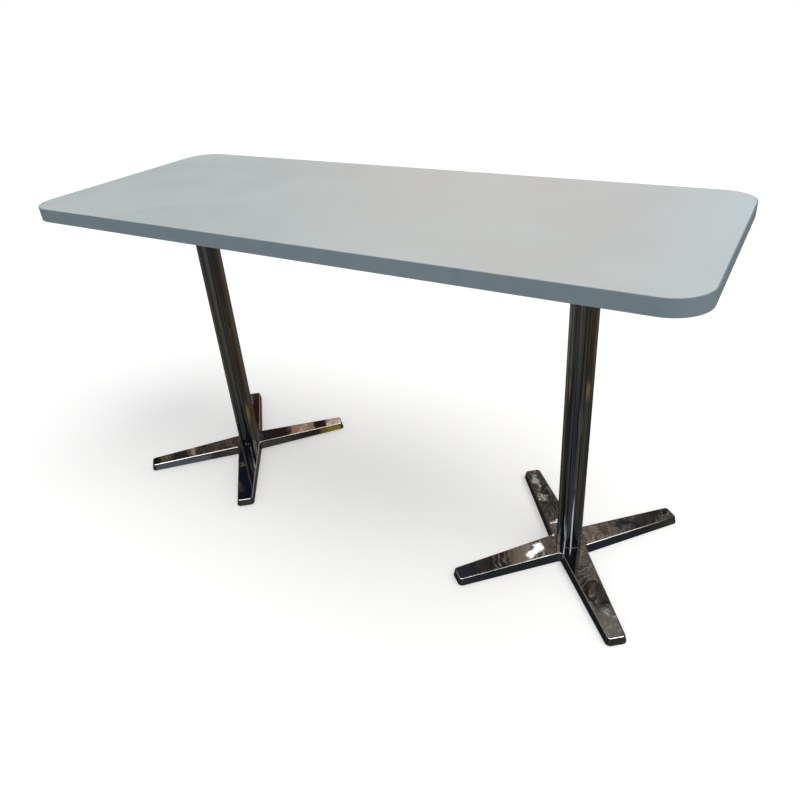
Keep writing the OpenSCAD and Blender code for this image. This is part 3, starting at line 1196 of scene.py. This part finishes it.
@dataclass
class Spider(Casting):
    """One black cast bracket under the top, deep at its hub and thin at its screws."""

    root_w: float = 40 * MM
    tip_w: float = 24 * MM
    tip_flat: float = 0.1 * MM
    root_t: float = 18 * MM
    tip_t: float = 7 * MM
    hub_lip: float = 5 * MM
    hub_drop: float = 0.1 * MM
    crotch_r: float = 6 * MM
    edge_r: float = 2 * MM
    top_r: float = 0.3 * MM
    head_r: float = 5.05 * MM
    head_h: float = 2.55 * MM
    shank_r: float = 2.5 * MM
    sink_segments: int = 32

    def __post_init__(self) -> None:
        """Works the plan out from the tube's radius and the arms' sizes."""
        super().__post_init__()
        radius = self.tube.radius
        self.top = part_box(self.named("spider"))[1].z
        self.hub_r = radius + self.hub_lip
        taper = (self.root_w - self.tip_w) / 2 / (SCREW_REACH - radius)
        self.plan = CrossPlan(
            tuple(angle + FOOT_TURN for angle in ARM_ANGLES), self.root_w / 2 + taper * radius, taper,
            SCREW_REACH + self.tip_w / 2, self.tip_w / 2 - self.tip_flat, self.crotch_r)

    def underside(self, plan: np.ndarray) -> np.ndarray:
        """Level of the arms' underside: it rises evenly from the hub to the screw boss.

        Args:
            plan: Plan points.

        Returns:
            The levels.
        """
        boss = SCREW_REACH - self.tip_w / 2
        share = np.clip((self.plan.along(plan) - self.hub_r) / (boss - self.hub_r), 0, 1)
        return self.top - self.root_t + (self.root_t - self.tip_t) * share

    def build(self) -> None:
        """Casts the arms with hub and spigot, cuts the nut recess and the screw holes, and fits it."""
        seat, top = self.tube.high, self.top
        end, web = seat - self.spigot_l, seat + self.seat_web
        crown, face = top - self.hub_drop, top - self.tip_t
        arms = Skin().solid(self.plan.outline(), self.underside, level(top), self.edge_r, self.top_r)
        hub = [
            (0, end, 0), (self.spigot_r, end, self.spigot_edge), (self.spigot_r, seat, 0),
            (self.hub_r, seat, self.edge_r), (self.hub_r, crown, 0), (0, crown, 0)]
        rod_way = bore(
            (self.rod_hole_r, end - self.over), (self.rod_hole_r, web),
            (self.recess_r, web), (self.recess_r, top + self.over))
        sink = bore(
            (self.head_r, face - self.over), (self.head_r, face),
            (self.shank_r, face + self.head_h), (self.shank_r, top + self.over))
        cut = Skin().revolve(rod_way, self.bore_segments, closed=False)
        for angle in self.plan.angles:
            x, y = turned(np.array([SCREW_REACH, 0.0]), angle)
            cut.revolve(sink, self.sink_segments, closed=False, place=(x, y, 0))
        self.fit("spider_casting", self.cast("spider", arms, hub, cut), Finish.BLACK_CASTING, "spider")


@dataclass
class Clamp(ColumnPart):
    """What holds one column together: a threaded rod, two nuts and two washers."""

    rod_pitch: float = 1.75 * MM
    nut_flats: float = 19 * MM
    nut_t: float = 10.8 * MM
    nut_segments: int = 72
    crown_share: float = 0.95
    crown_angle: float = 30.0
    washer_t: float = 2.5 * MM
    washer_hole_r: float = 6.5 * MM
    washer_edges: tuple[float, ...] = (0.2 * MM, 0.5 * MM, 0.3 * MM, 0.3 * MM)
    washer_steps: int = 3
    washer_segments: int = 64
    bore_gap: float = 0.05 * MM

    def nut(self, hole: float) -> np.ndarray:
        """Hexagon nut as a grid round its axis, with its underside at level zero.

        At an angle a from the middle of a flat, the side is at h = flats / 2 / cos(a). Both ends are cut by
        a cone from the crown's radius r, so the side starts and ends (h - r) * tan(crown_angle) further in.

        Args:
            hole: Radius of the hole.

        Returns:
            The grid, which closes on itself both ways.
        """
        half = self.nut_flats / 2
        angle = steps_round(self.nut_segments)
        side = half / np.cos((angle + math.pi / 6) % (math.pi / 3) - math.pi / 6)
        crown = self.crown_share * half
        drop = (side - crown) * math.tan(math.radians(self.crown_angle))
        still, thick = np.ones_like(angle), self.nut_t
        radius = np.hstack([hole * still, crown * still, side, side, crown * still, hole * still])
        z = np.hstack([0 * still, 0 * still, drop, thick - drop, thick * still, thick * still])
        return around(radius, angle, z)

    def build(self) -> None:
        """Makes the rod, the nuts and the washers."""
        rod, nuts, washers = (self.upright(node) for node in ("tie_rod", "rod_nuts", "rod_washers"))
        rod_skin, nut_skin, washer_skin = Skin().grid(thread(rod, self.rod_pitch)), Skin(), Skin()
        for low in (nuts.low, nuts.high - self.nut_t):
            nut_skin.grid(self.nut(rod.radius + self.bore_gap) + np.array(rod.at(low)), wrap_columns=True)
        hole, edge, thick = self.washer_hole_r, washers.radius, self.washer_t
        corners = (hole, 0), (edge, 0), (edge, thick), (hole, thick)
        rounded = [(*corner, radius) for corner, radius in zip(corners, self.washer_edges)]
        section, _ = soft_outline(rounded, self.washer_steps)
        for low in (washers.low, washers.high - thick):
            washer_skin.revolve(section, self.washer_segments, closed=True, place=rod.at(low))
        self.fit("threaded_rod", rod_skin, Finish.ZINC_STEEL, "tie_rod")
        self.fit("hex_nuts", nut_skin, Finish.ZINC_STEEL, "rod_nuts")
        self.fit("flat_washers", washer_skin, Finish.ZINC_STEEL, "rod_washers")


@dataclass
class BoardScrews(ColumnPart):
    """The four countersunk screws that hold one spider to the board, with cross recesses."""

    head_r: float = 4.8 * MM
    head_rim: float = 0.2 * MM
    shank_r: float = 2.25 * MM
    point_r: float = 0.5 * MM
    pitch: float = 1.8 * MM
    thread_depth: float = 0.55 * MM
    thread_gap: float = 0.1 * MM
    ridge: float = 6.0
    slot_half_w: float = 0.55 * MM
    slot_reach: float = 2.4 * MM
    slot_depth: float = 2.0 * MM
    slot_root_r: float = 0.02 * MM
    slot_mouth_r: float = 0.2 * MM
    slot_turn: int = 3
    segments: int = 20
    rings: int = 5

    def screw(self, length: float) -> np.ndarray:
        """One screw as a grid round its axis, with its head's face at level zero.

        Above the head's cone, the radius is the core's plus a thin ridge, exp(-(ridge * u)^2), where u is
        the distance from the middle of a turn of t = z / pitch - angle / 360. It narrows towards the point.

        Args:
            length: Length from the head's face to the point.

        Returns:
            The grid, with a row for each angle and a column for each level.
        """
        stem = self.shank_r - self.thread_depth
        cone = self.head_r - self.shank_r
        start = cone + self.pitch
        angle = steps_round(self.segments)
        z = np.linspace(start, length, round((length - start) / self.pitch * self.rings) + 1)[None, :]
        turn = (z / self.pitch - angle / math.tau) % 1 - 0.5
        narrow = np.clip((length - z) / (2 * self.shank_r), 0, 1)
        core = self.point_r + (stem - self.point_r) * narrow
        r = core + self.thread_depth * narrow * np.exp(-((self.ridge * turn) ** 2))
        head = np.array([
            (0, 0), (self.head_r, 0), (self.head_r, self.head_rim), (stem, cone),
            (stem, start - self.thread_gap)])
        point = np.broadcast_to([0, 0, length], (self.segments, 1, 3))
        return np.hstack([around(head[:, 0], angle, head[:, 1]), around(r, angle, z), point])

    def build(self) -> None:
        """Makes the screws and cuts their recesses."""
        group = self.upright("board_screws")
        a, b = self.slot_half_w, self.slot_reach
        plus = [
            (b, -a), (b, a), (a, a), (a, b), (-a, b), (-a, a),
            (-b, a), (-b, -a), (-a, -a), (-a, -b), (a, -b), (a, -a)]
        outline = Outline(*soft_outline([(x, y, 0) for x, y in plus]), np.zeros((len(plus), 2)))
        levels = level(-self.slot_depth), level(self.slot_depth)
        screws, slots = Skin(), Skin()
        for angle in ARM_ANGLES:
            x, y = turned(np.array([SCREW_REACH, 0.0]), angle + FOOT_TURN)
            place = np.array([group.x + x, group.y + y, group.low])
            screws.grid(self.screw(group.high - group.low) + place)
            slot = Skin().solid(
                outline.turned(self.slot_turn * angle), *levels, self.slot_root_r, self.slot_mouth_r)
            slots.grid(slot.points[0].reshape(len(plus), -1, 3) + place)
        mesh = carved(screws.mesh(self.named("board_screws")), None, slots.mesh("recesses"))
        self.fit("wood_screws", mesh, Finish.SCREW_STEEL, "board_screws")


@dataclass
class Glide(ColumnPart):
    """One levelling glide: a nylon pad on a threaded stud, which screws into an arm's tip."""

    arm: Arm
    collar_h: float = 1.5 * MM
    collar_wall: float = 3 * MM
    stud_in_pad: float = 3.5 * MM
    stud_pitch: float = 1.25 * MM
    stud_rings: int = 8
    pad_edge_r: float = 1 * MM
    shoulder_r: float = 0.6 * MM
    collar_foot_r: float = 0.3 * MM
    collar_edge_r: float = 0.4 * MM
    hole_edge_r: float = 0.2 * MM
    arc_steps: int = 4
    segments: int = 64

    def build(self) -> None:
        """Makes the pad and the stud."""
        arm = self.arm.label
        pad, stud = self.upright(f"{arm}_pad"), self.upright(f"{arm}_stud")
        base, collar, hole = pad.high - self.collar_h, stud.radius + self.collar_wall, stud.radius
        floor = pad.high - self.stud_in_pad
        profile, _ = soft_outline([
            (0, pad.low, 0), (pad.radius, pad.low, self.pad_edge_r), (pad.radius, base, self.shoulder_r),
            (collar, base, self.collar_foot_r), (collar, pad.high, self.collar_edge_r),
            (hole, pad.high, self.hole_edge_r), (hole, floor, 0), (0, floor, 0),
        ], self.arc_steps, closed=False)
        pad_skin = Skin().revolve(profile, self.segments, closed=False, place=pad.at())
        stud_skin = Skin().grid(thread(stud, self.stud_pitch, self.stud_rings))
        body = self.named(f"{arm}_glide")
        self.fit(f"{arm}_pad_moulding", pad_skin, Finish.GLIDE_NYLON, f"{arm}_pad", body)
        self.fit(f"{arm}_threaded_stud", stud_skin, Finish.STUD_STEEL, f"{arm}_stud", body)


@dataclass(frozen=True)
class Camera:
    """The photograph's camera, from a fit of the table's edges and feet in its 800 by 800 frame."""

    location: Point = (0.7864, -1.13073, 1.11108)
    right: Point = (0.866911, 0.494689, -0.061215)
    down: Point = (0.202431, -0.461623, -0.863670)
    ahead: Point = (-0.455506, 0.736334, -0.500327)
    frame_px: float = 800.0
    focal_px: float = 688.01
    centre_px: Pair = (411.82, 380.55)
    sensor: float = 36.0

    def build(self) -> None:
        """Makes the scene's camera."""
        data = bpy.data.cameras.new("photograph")
        data.sensor_width = self.sensor
        data.lens = self.focal_px / self.frame_px * self.sensor
        data.shift_x = (self.frame_px / 2 - self.centre_px[0]) / self.frame_px
        data.shift_y = (self.centre_px[1] - self.frame_px / 2) / self.frame_px
        camera = placed("photograph", data)
        turn = Matrix((self.right, [-v for v in self.down], [-v for v in self.ahead])).transposed()
        camera.matrix_world = Matrix.Translation(self.location) @ turn.to_4x4()
        bpy.context.scene.camera = camera


class RayGraph(Graph):
    """The world's graph, with the direction of each ray, and its azimuth and elevation in degrees."""

    def __init__(self, tree: bpy.types.NodeTree) -> None:
        """Works out the ray's direction and angles.

        Args:
            tree: The world's node tree.
        """
        super().__init__(tree)
        self.direction = self.node("ShaderNodeTexCoord").outputs["Generated"]
        self.axes = self.node("ShaderNodeSeparateXYZ", {"Vector": self.direction}).outputs
        self.azimuth = self.math("DEGREES", self.math("ARCTAN2", self.axes["Y"], self.axes["X"]))
        self.elevation = self.math("DEGREES", self.math("ARCSINE", self.axes["Z"]))

    def toward(self, azimuth: float) -> Socket:
        """How much a ray leans towards an azimuth: x cos(a) + y sin(a)."""
        c, s = math.cos(math.radians(azimuth)), math.sin(math.radians(azimuth))
        return self.math("MULTIPLY_ADD", self.axes["X"], c, self.math("MULTIPLY", self.axes["Y"], s))


@dataclass(frozen=True)
class Patch:
    """A bright, dark or coloured place in the surround, by its direction in degrees.

    Azimuth is measured from +X towards +Y, and the half sizes are across and up. Share is how much of it
    shows, drift is how far its outline wanders, as a share of the surround's own wander, and a speckled
    one shows only in specks.
    """

    azimuth: float
    elevation: float
    half_width: float
    half_height: float
    soft: float
    colour: Colour
    gain: float = 1.0
    tilt: float = 0.0
    share: float = 1.0
    drift: float = 1.0
    speckled: bool = False

    def mask(self, graph: Graph, azimuth: Socket, elevation: Socket) -> Socket:
        """Where the patch covers the surround.

        Args:
            graph: The world's graph.
            azimuth: Azimuth in degrees, from -180 to 180.
            elevation: Elevation in degrees.

        Returns:
            The mask's socket.
        """
        away = graph.math("SUBTRACT", azimuth, (self.azimuth + 180) % 360 - 180)
        away = graph.math("WRAP", away, 180.0, -180.0)
        across = graph.math("MULTIPLY", away, math.cos(math.radians(self.elevation)))
        up = graph.math("SUBTRACT", elevation, self.elevation)
        c, s = math.cos(math.radians(self.tilt)), math.sin(math.radians(self.tilt))
        along = graph.math("ADD", graph.math("MULTIPLY", across, c), graph.math("MULTIPLY", up, s))
        over = graph.math("SUBTRACT", graph.math("MULTIPLY", up, c), graph.math("MULTIPLY", across, s))
        masks = []
        for value, half in ((along, self.half_width), (over, self.half_height)):
            outside = graph.math("SUBTRACT", graph.math("ABSOLUTE", value), half)
            masks.append(graph.span(outside, self.soft, -self.soft))
        return graph.math("MULTIPLY", graph.math("MULTIPLY", *masks), self.share)


@dataclass(frozen=True)
class Surround:
    """What is around the table: white to the camera, plain pale light, and dark tones for the gloss.

    upper_bands and lower_bands hold the tones below the horizon, as azimuth and colour: the first down to
    about 27 degrees under it, the second from about 33. They are written as they look in the chrome, and so
    are the tones above the horizon, the veins and the patches. A span is where something fades in, and a
    pair of shades is a factor at its start and its end.
    """

    light: float = 0.58
    chrome_share: float = 0.56
    upper_bands: Stops = (
        (-180, (76, 74, 71)), (-165, (74, 73, 71)), (-134, (38, 38, 37)), (-110, (44, 45, 45)),
        (-89, (56, 57, 57)), (-70, (53, 53, 51)), (-51, (48, 49, 47)), (-33, (35, 35, 32)),
        (-14, (30, 29, 26)), (5, (30, 28, 23)), (26, (42, 37, 30)), (50, (58, 51, 41)),
        (81, (68, 62, 54)), (120, (62, 57, 51)), (180, (76, 74, 71)),
    )
    lower_bands: Stops = (
        (-180, (48, 45, 41)), (-166, (36, 33, 29)), (-142, (22, 22, 21)), (-121, (37, 40, 41)),
        (-102, (46, 50, 52)), (-83, (34, 37, 39)), (-65, (52, 53, 54)), (-46, (54, 54, 54)),
        (-27, (43, 43, 40)), (-6, (47, 47, 43)), (18, (46, 45, 40)), (49, (34, 32, 28)),
        (80, (48, 44, 39)), (160, (56, 52, 48)), (180, (48, 45, 41)),
    )
    bands_meet: Pair = (-33.0, -27.0)
    horizon: Pair = (-4.0, 4.0)
    front_azimuth: float = 290.0
    front_side: Colour = (25, 28, 33)
    front_span: Pair = (-0.05, 0.1)
    tones: Stops = ((0.30, (44, 41, 40)), (0.43, (60, 56, 53)), (0.57, (79, 73, 68)), (0.72, (102, 96, 89)))
    folds: float = 9.0
    fold_rise: float = 1.4
    fold_turns: float = 40.0
    fold_shades: Pair = (1.55, 0.34)
    fold_edge: float = 0.17
    fold_line: Colour = (150, 142, 132)
    line_breaks: Pair = (0.40, 0.62)
    grain: float = 95.0
    grain_span: Pair = (0.35, 0.65)
    grain_shades: Pair = (0.62, 1.45)
    far_spans: tuple[Pair, Pair] = ((121.0, 127.0), (180.0, 168.0))
    far_shades: Pair = (1.0, 0.52)
    streak_stretch: Point = (1.0, 1.0, 0.10)
    streak_span: Pair = (0.36, 0.64)
    streak_shades: Pair = (0.30, 1.70)
    ochre: Colour = (96, 80, 38)
    ochre_span: Pair = (0.67, 0.73)
    ochre_from: Pair = (-32.0, -28.0)
    cap_span: Pair = (55.0, 59.0)
    cap: Colour = (255, 253, 248)
    cap_gain: float = 3.0
    speck_scale: float = 230.0
    speck_span: Pair = (0.51, 0.57)
    wander: float = 1.1
    wander_scale: float = 34.0
    glows: tuple[Patch, ...] = (
        Patch(113.0, 20.5, 14.0, 9.0, 7.0, (255, 163, 145), 0.84),
        Patch(84.0, 15.0, 13.0, 9.0, 6.0, (180, 214, 255), 1.2),
    )
    patches: tuple[Patch, ...] = (
        # What the right foot's upper side mirrors
        Patch(119.9, 46.6, 0.9, 0.9, 0.4, (38, 41, 47)),
        Patch(112.9, 45.4, 0.8, 0.8, 0.6, (112, 103, 92)),
        Patch(111.64, 45.03, 0.74, 0.21, 0.17, (255, 255, 255), 2.0, 39.8, drift=0.15),
        Patch(108.2, 39.23, 0.36, 0.07, 0.06, (250, 246, 238), 1.6, 27.6, drift=0.1),
        Patch(108.05, 42.64, 0.42, 0.06, 0.05, (250, 246, 238), 1.6, 25.0, drift=0.1),
        Patch(98.4, 39.3, 0.85, 0.14, 0.10, (30, 32, 42), drift=0.4),
        Patch(99.33, 39.66, 0.40, 0.10, 0.10, (34, 36, 44), tilt=-45.0, drift=0.4),
        Patch(99.3, 50.9, 1.3, 0.8, 0.7, (116, 115, 111), share=0.6),
        Patch(99.97, 50.03, 0.20, 0.08, 0.06, (44, 54, 70), tilt=-23.0, drift=0.5),
        Patch(99.26, 50.1, 0.30, 0.09, 0.06, (46, 54, 66), tilt=-53.0, drift=0.5),
        Patch(110.6, 35.6, 0.9, 0.45, 0.4, (58, 52, 50), share=0.8),
        # What the left foot's upper side mirrors
        Patch(133.65, 32.6, 0.5, 1.6, 0.06, (38, 27, 24)),
        Patch(134.9, 32.8, 0.55, 1.6, 0.06, (30, 31, 37)),
        Patch(131.4, 32.4, 1.0, 1.6, 0.10, (132, 106, 84)),
        Patch(129.7, 32.3, 0.50, 1.6, 0.06, (32, 25, 24)),
        Patch(128.2, 32.2, 0.70, 1.6, 0.06, (158, 138, 124)),
        Patch(148.1, 32.2, 0.40, 1.6, 0.08, (22, 22, 23)),
        Patch(144.75, 32.4, 0.14, 1.6, 0.06, (132, 118, 110)),
        Patch(145.8, 32.3, 0.45, 1.6, 0.06, (36, 35, 38)),
        Patch(139.6, 39.0, 1.9, 1.5, 0.15, (16, 20, 34)),
        Patch(139.4, 36.6, 1.6, 0.45, 0.12, (17, 20, 30)),
        Patch(140.3, 38.7, 0.22, 0.25, 0.10, (66, 50, 42)),
        Patch(139.1, 37.7, 0.20, 0.12, 0.08, (90, 68, 50)),
        Patch(136.5, 28.2, 0.9, 1.1, 0.20, (36, 24, 23)),
        # What the sides of the feet mirror
        Patch(349.0, -44.8, 12.0, 3.6, 1.2, (34, 39, 43)),
        Patch(150.0, -46.5, 12.0, 5.0, 1.5, (21, 25, 29)),
        Patch(304.8, -33.4, 2.4, 0.9, 0.7, (74, 80, 87)),
        Patch(330.6, -33.4, 1.2, 0.7, 0.4, (112, 100, 44)),
        Patch(298.6, -37.7, 0.35, 0.8, 0.2, (92, 86, 50)),
        # What the columns mirror
        Patch(249.0, -42.7, 8.5, 0.7, 0.5, (126, 132, 140)),
        Patch(236.0, -42.3, 3.0, 1.0, 0.6, (150, 160, 174)),
        Patch(4.0, -30.75, 16.0, 0.55, 0.35, (102, 86, 44)),
        Patch(204.0, -30.6, 4.5, 0.8, 0.3, (104, 88, 44)),
        Patch(344.0, -25.0, 2.4, 3.6, 0.8, (70, 62, 34)),
        # What the columns' own images in the feet mirror
        Patch(250.0, 43.6, 4.5, 2.6, 0.9, (206, 212, 222)),
        Patch(308.0, 41.4, 4.4, 4.0, 1.1, (226, 232, 242)),
        Patch(296.0, 38.2, 5.0, 1.0, 0.8, (110, 116, 124)),
        Patch(306.0, 35.6, 6.0, 0.5, 0.40, (120, 125, 132)),
        Patch(262.0, 37.6, 8.0, 0.7, 0.4, (70, 72, 80)),
        # Pale specks that the upper sides of the feet mirror: a painted reflection in the surround, not
        # marks on the casting
        Patch(110.1, 36.0, 0.62, 0.24, 0.12, (214, 208, 202), 1.0, -54.0, 0.8, 0.2, True),
        Patch(109.4, 37.3, 0.44, 0.22, 0.12, (214, 208, 202), 1.0, -7.0, 1.0, 0.2, True),
        Patch(99.4, 50.1, 0.8, 0.3, 0.25, (214, 208, 202), share=0.5, speckled=True),
        Patch(128.2, 32.2, 0.8, 1.6, 0.1, (214, 208, 202), share=0.7, speckled=True),
        Patch(131.3, 32.4, 0.5, 1.6, 0.1, (214, 208, 202), share=0.45, speckled=True),
        Patch(136.9, 27.2, 0.35, 0.35, 0.15, (214, 208, 202), share=0.7, speckled=True),
    )

    def seen(self, colour: Colour, gain: float = 1.0) -> Rgba:
        """Linear values that look like a display colour in the chrome."""
        return linear(colour, gain / self.chrome_share)

    def ramp(self, graph: Graph, value: Socket, stops: Stops) -> Socket:
        """A colour ramp through named stops.

        Args:
            graph: The world's graph.
            value: Socket from 0 to 1.
            stops: Places from 0 to 1 and display colours.

        Returns:
            The colour's socket.
        """
        node = graph.node("ShaderNodeValToRGB", {"Fac": value})
        elements = node.color_ramp.elements
        while len(elements) < len(stops):
            elements.new(0.5)
        for element, (place, colour) in zip(elements, stops):
            element.position = place
            element.color = self.seen(colour)
        return node.outputs["Color"]

    def below(self, graph: RayGraph) -> Socket:
        """The tones below the horizon, in two rows of bands round the table.

        Args:
            graph: The world's graph.

        Returns:
            The colour's socket.
        """
        turn = graph.math("ADD", graph.math("DIVIDE", graph.azimuth, 360.0), 0.5)
        upper, lower = (
            self.ramp(graph, turn, tuple((azimuth / 360 + 0.5, colour) for azimuth, colour in bands))
            for bands in (self.upper_bands, self.lower_bands)
        )
        return graph.mix(graph.span(graph.elevation, *self.bands_meet), lower, upper)

    def veins(self, graph: RayGraph) -> Socket:
        """Brown and grey clouds, with wavy lines at even steps of a smooth noise.

        Args:
            graph: The world's graph.

        Returns:
            The colour's socket.
        """
        clouds = graph.noise(graph.direction, scale=11.0, detail=5.0, distortion=1.2)["Fac"]
        tone = self.ramp(graph, clouds, self.tones)
        raised = graph.stretched(graph.direction, (1.0, 1.0, self.fold_rise))
        folds = graph.noise(raised, self.folds, detail=2.2, distortion=0.7)["Fac"]
        step = graph.math("PINGPONG", graph.math("MULTIPLY", folds, self.fold_turns), 0.5)
        tone = graph.shade(tone, step, 0.0, 0.5, self.fold_shades)
        grain = graph.noise(graph.direction, self.grain, detail=3.0, distortion=1.0)["Fac"]
        tone = graph.shade(tone, grain, *self.grain_span, self.grain_shades)
        breaks = graph.noise(graph.direction, scale=24.0, detail=3.0)["Fac"]
        broken = graph.span(breaks, *self.line_breaks)
        line = graph.math("MULTIPLY", graph.span(step, self.fold_edge, 0.0), broken)
        return graph.mix(line, tone, self.seen(self.fold_line))

    def streaked(self, graph: RayGraph, colour: Socket) -> Socket:
        """Adds upright streaks and ochre lines to a colour.

        Args:
            graph: The world's graph.
            colour: The colour's socket.

        Returns:
            The streaked colour's socket.
        """
        upright = graph.stretched(graph.direction, self.streak_stretch)
        streaks = graph.noise(upright, scale=6.0, detail=4.0)["Fac"]
        streaked = graph.shade(colour, streaks, *self.streak_span, self.streak_shades)
        lines = graph.span(graph.noise(upright, scale=9.0, distortion=0.4)["Fac"], *self.ochre_span)
        line = graph.math("MULTIPLY", lines, graph.span(graph.elevation, *self.ochre_from))
        return graph.mix(line, streaked, self.seen(self.ochre))

    def wandered(self, graph: RayGraph) -> dict[float, list[Socket]]:
        """Azimuth and elevation, moved a little to and fro, for outlines that aren't ruled.

        Args:
            graph: The world's graph.

        Returns:
            The moved azimuth and elevation, for each drift that a patch has.
        """
        drift = graph.noise(graph.direction, self.wander_scale)["Color"]
        parts = graph.node("ShaderNodeSeparateColor", {"Color": drift}).outputs[:2]
        moved = {}
        for share in {patch.drift: None for patch in self.patches}:
            reach = share * self.wander
            moves = [graph.math("MULTIPLY_ADD", part, 2 * reach, -reach) for part in parts]
            angles = zip((graph.azimuth, graph.elevation), moves)
            moved[share] = [graph.math("ADD", angle, move) for angle, move in angles]
        return moved

    def dark_tones(self, graph: RayGraph) -> Socket:
        """What the gloss sees, from the direction of each ray.

        Args:
            graph: The world's graph.

        Returns:
            The colour's socket.
        """
        facing = graph.toward(self.front_azimuth)
        front = graph.span(facing, *self.front_span)
        above = graph.mix(front, self.veins(graph), self.seen(self.front_side))
        far = graph.math("MULTIPLY", *(graph.span(graph.azimuth, *span) for span in self.far_spans))
        above = graph.shade(above, far, 0.0, 1.0, self.far_shades)
        colour = graph.mix(graph.span(graph.elevation, *self.horizon), self.below(graph), above)
        behind = graph.span(facing, *self.front_span[::-1])
        plain = graph.math("MULTIPLY", graph.span(graph.elevation, *self.horizon), behind)
        colour = graph.mix(plain, self.streaked(graph, colour), colour)
        overhead = graph.span(graph.elevation, *self.cap_span)
        colour = graph.mix(overhead, colour, self.seen(self.cap, self.cap_gain))
        for glow in self.glows:
            mask = glow.mask(graph, graph.azimuth, graph.elevation)
            colour = graph.mix(mask, colour, linear(glow.colour, glow.gain), "ADD")
        place = self.wandered(graph)
        specks = graph.noise(graph.direction, self.speck_scale, distortion=1.2)["Fac"]
        specks = graph.span(specks, *self.speck_span)
        for patch in self.patches:
            mask = patch.mask(graph, *place[patch.drift])
            if patch.speckled:
                mask = graph.math("MULTIPLY", specks, mask)
            colour = graph.mix(mask, colour, self.seen(patch.colour, patch.gain))
        return colour

    def build(self) -> None:
        """Makes the world."""
        world = bpy.data.worlds.new("surround")
        world.use_nodes = True
        world.cycles.sampling_method = "NONE"
        world.node_tree.nodes.clear()
        bpy.context.scene.world = world
        graph = RayGraph(world.node_tree)
        rays = graph.node("ShaderNodeLightPath").outputs
        plain = (self.light, self.light, self.light, 1.0)
        colour = graph.mix(rays["Is Glossy Ray"], plain, self.dark_tones(graph))
        seen = graph.math("MAXIMUM", rays["Is Camera Ray"], rays["Is Transmission Ray"])
        colour = graph.mix(seen, colour, WHITE)
        background = graph.node("ShaderNodeBackground", {"Color": colour, "Strength": 1.0})
        graph.node("ShaderNodeOutputWorld", {"Surface": background.outputs[0]})


@dataclass(frozen=True)
class Floor:
    """Pale floor that keeps the table's shadow. Where nothing shades it, the camera sees it white."""

    half_size: float = 14.0
    lines: int = 9
    shade: float = 0.80
    glow: float = 0.30

    def build(self) -> None:
        """Makes the floor, which the gloss doesn't see, because the surround has its own lower half."""
        edge = np.linspace(-self.half_size, self.half_size, self.lines)
        x, y = np.meshgrid(edge, edge, indexing="ij")
        mesh = Skin().grid(np.stack([x, y, 0 * x], axis=-1), wrap_rows=False).mesh("floor")
        material = bpy.data.materials.new("floor")
        material.use_nodes = True
        material.node_tree.nodes.clear()
        graph = Graph(material.node_tree)
        pale = (self.shade, self.shade, self.shade, 1.0)
        diffuse = graph.node("ShaderNodeBsdfDiffuse", {"Color": pale})
        camera_ray = graph.node("ShaderNodeLightPath").outputs["Is Camera Ray"]
        strength = graph.math("MULTIPLY", camera_ray, self.glow)
        glow = graph.node("ShaderNodeEmission", {"Color": WHITE, "Strength": strength})
        both = graph.node("ShaderNodeAddShader", {0: diffuse.outputs[0], 1: glow.outputs[0]})
        graph.node("ShaderNodeOutputMaterial", {"Surface": both.outputs[0]})
        mesh.materials.append(material)
        floor = placed("floor", mesh)
        floor.visible_glossy = False


@dataclass(frozen=True)
class Lamp:
    """One large soft overhead light, a little towards +X, which sets the shadow's place."""

    strength: float = 1.43
    spread: float = 42.0
    lean_x: float = 28.5
    lean_y: float = -2.4
    colour: Point = (1.0, 0.995, 0.985)

    def build(self) -> None:
        """Makes the lamp."""
        data = bpy.data.lights.new("overhead", "SUN")
        data.energy = self.strength
        data.angle = math.radians(self.spread)
        data.color = self.colour
        lamp = placed("overhead", data)
        toward = Vector((math.tan(math.radians(self.lean_x)), math.tan(math.radians(self.lean_y)), 1.0))
        lamp.rotation_mode = "QUATERNION"
        lamp.rotation_quaternion = toward.to_track_quat("Z", "Y")
        lamp.visible_glossy = False


def main() -> None:
    """Builds the table's pieces in order, then what it stands on and how it is seen."""
    logging.basicConfig(level=logging.INFO, format="%(name)s: %(message)s")
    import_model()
    bpy.context.scene.view_settings.view_transform = "Standard"
    Camera().build()
    Board().build()
    for side in Side:
        for part in (Column, Foot, Spider, Clamp, BoardScrews):
            part(side).build()
        for arm in Arm:
            Glide(side, arm).build()
    Surround().build()
    Floor().build()
    Lamp().build()


if __name__ == "__main__":
    main()
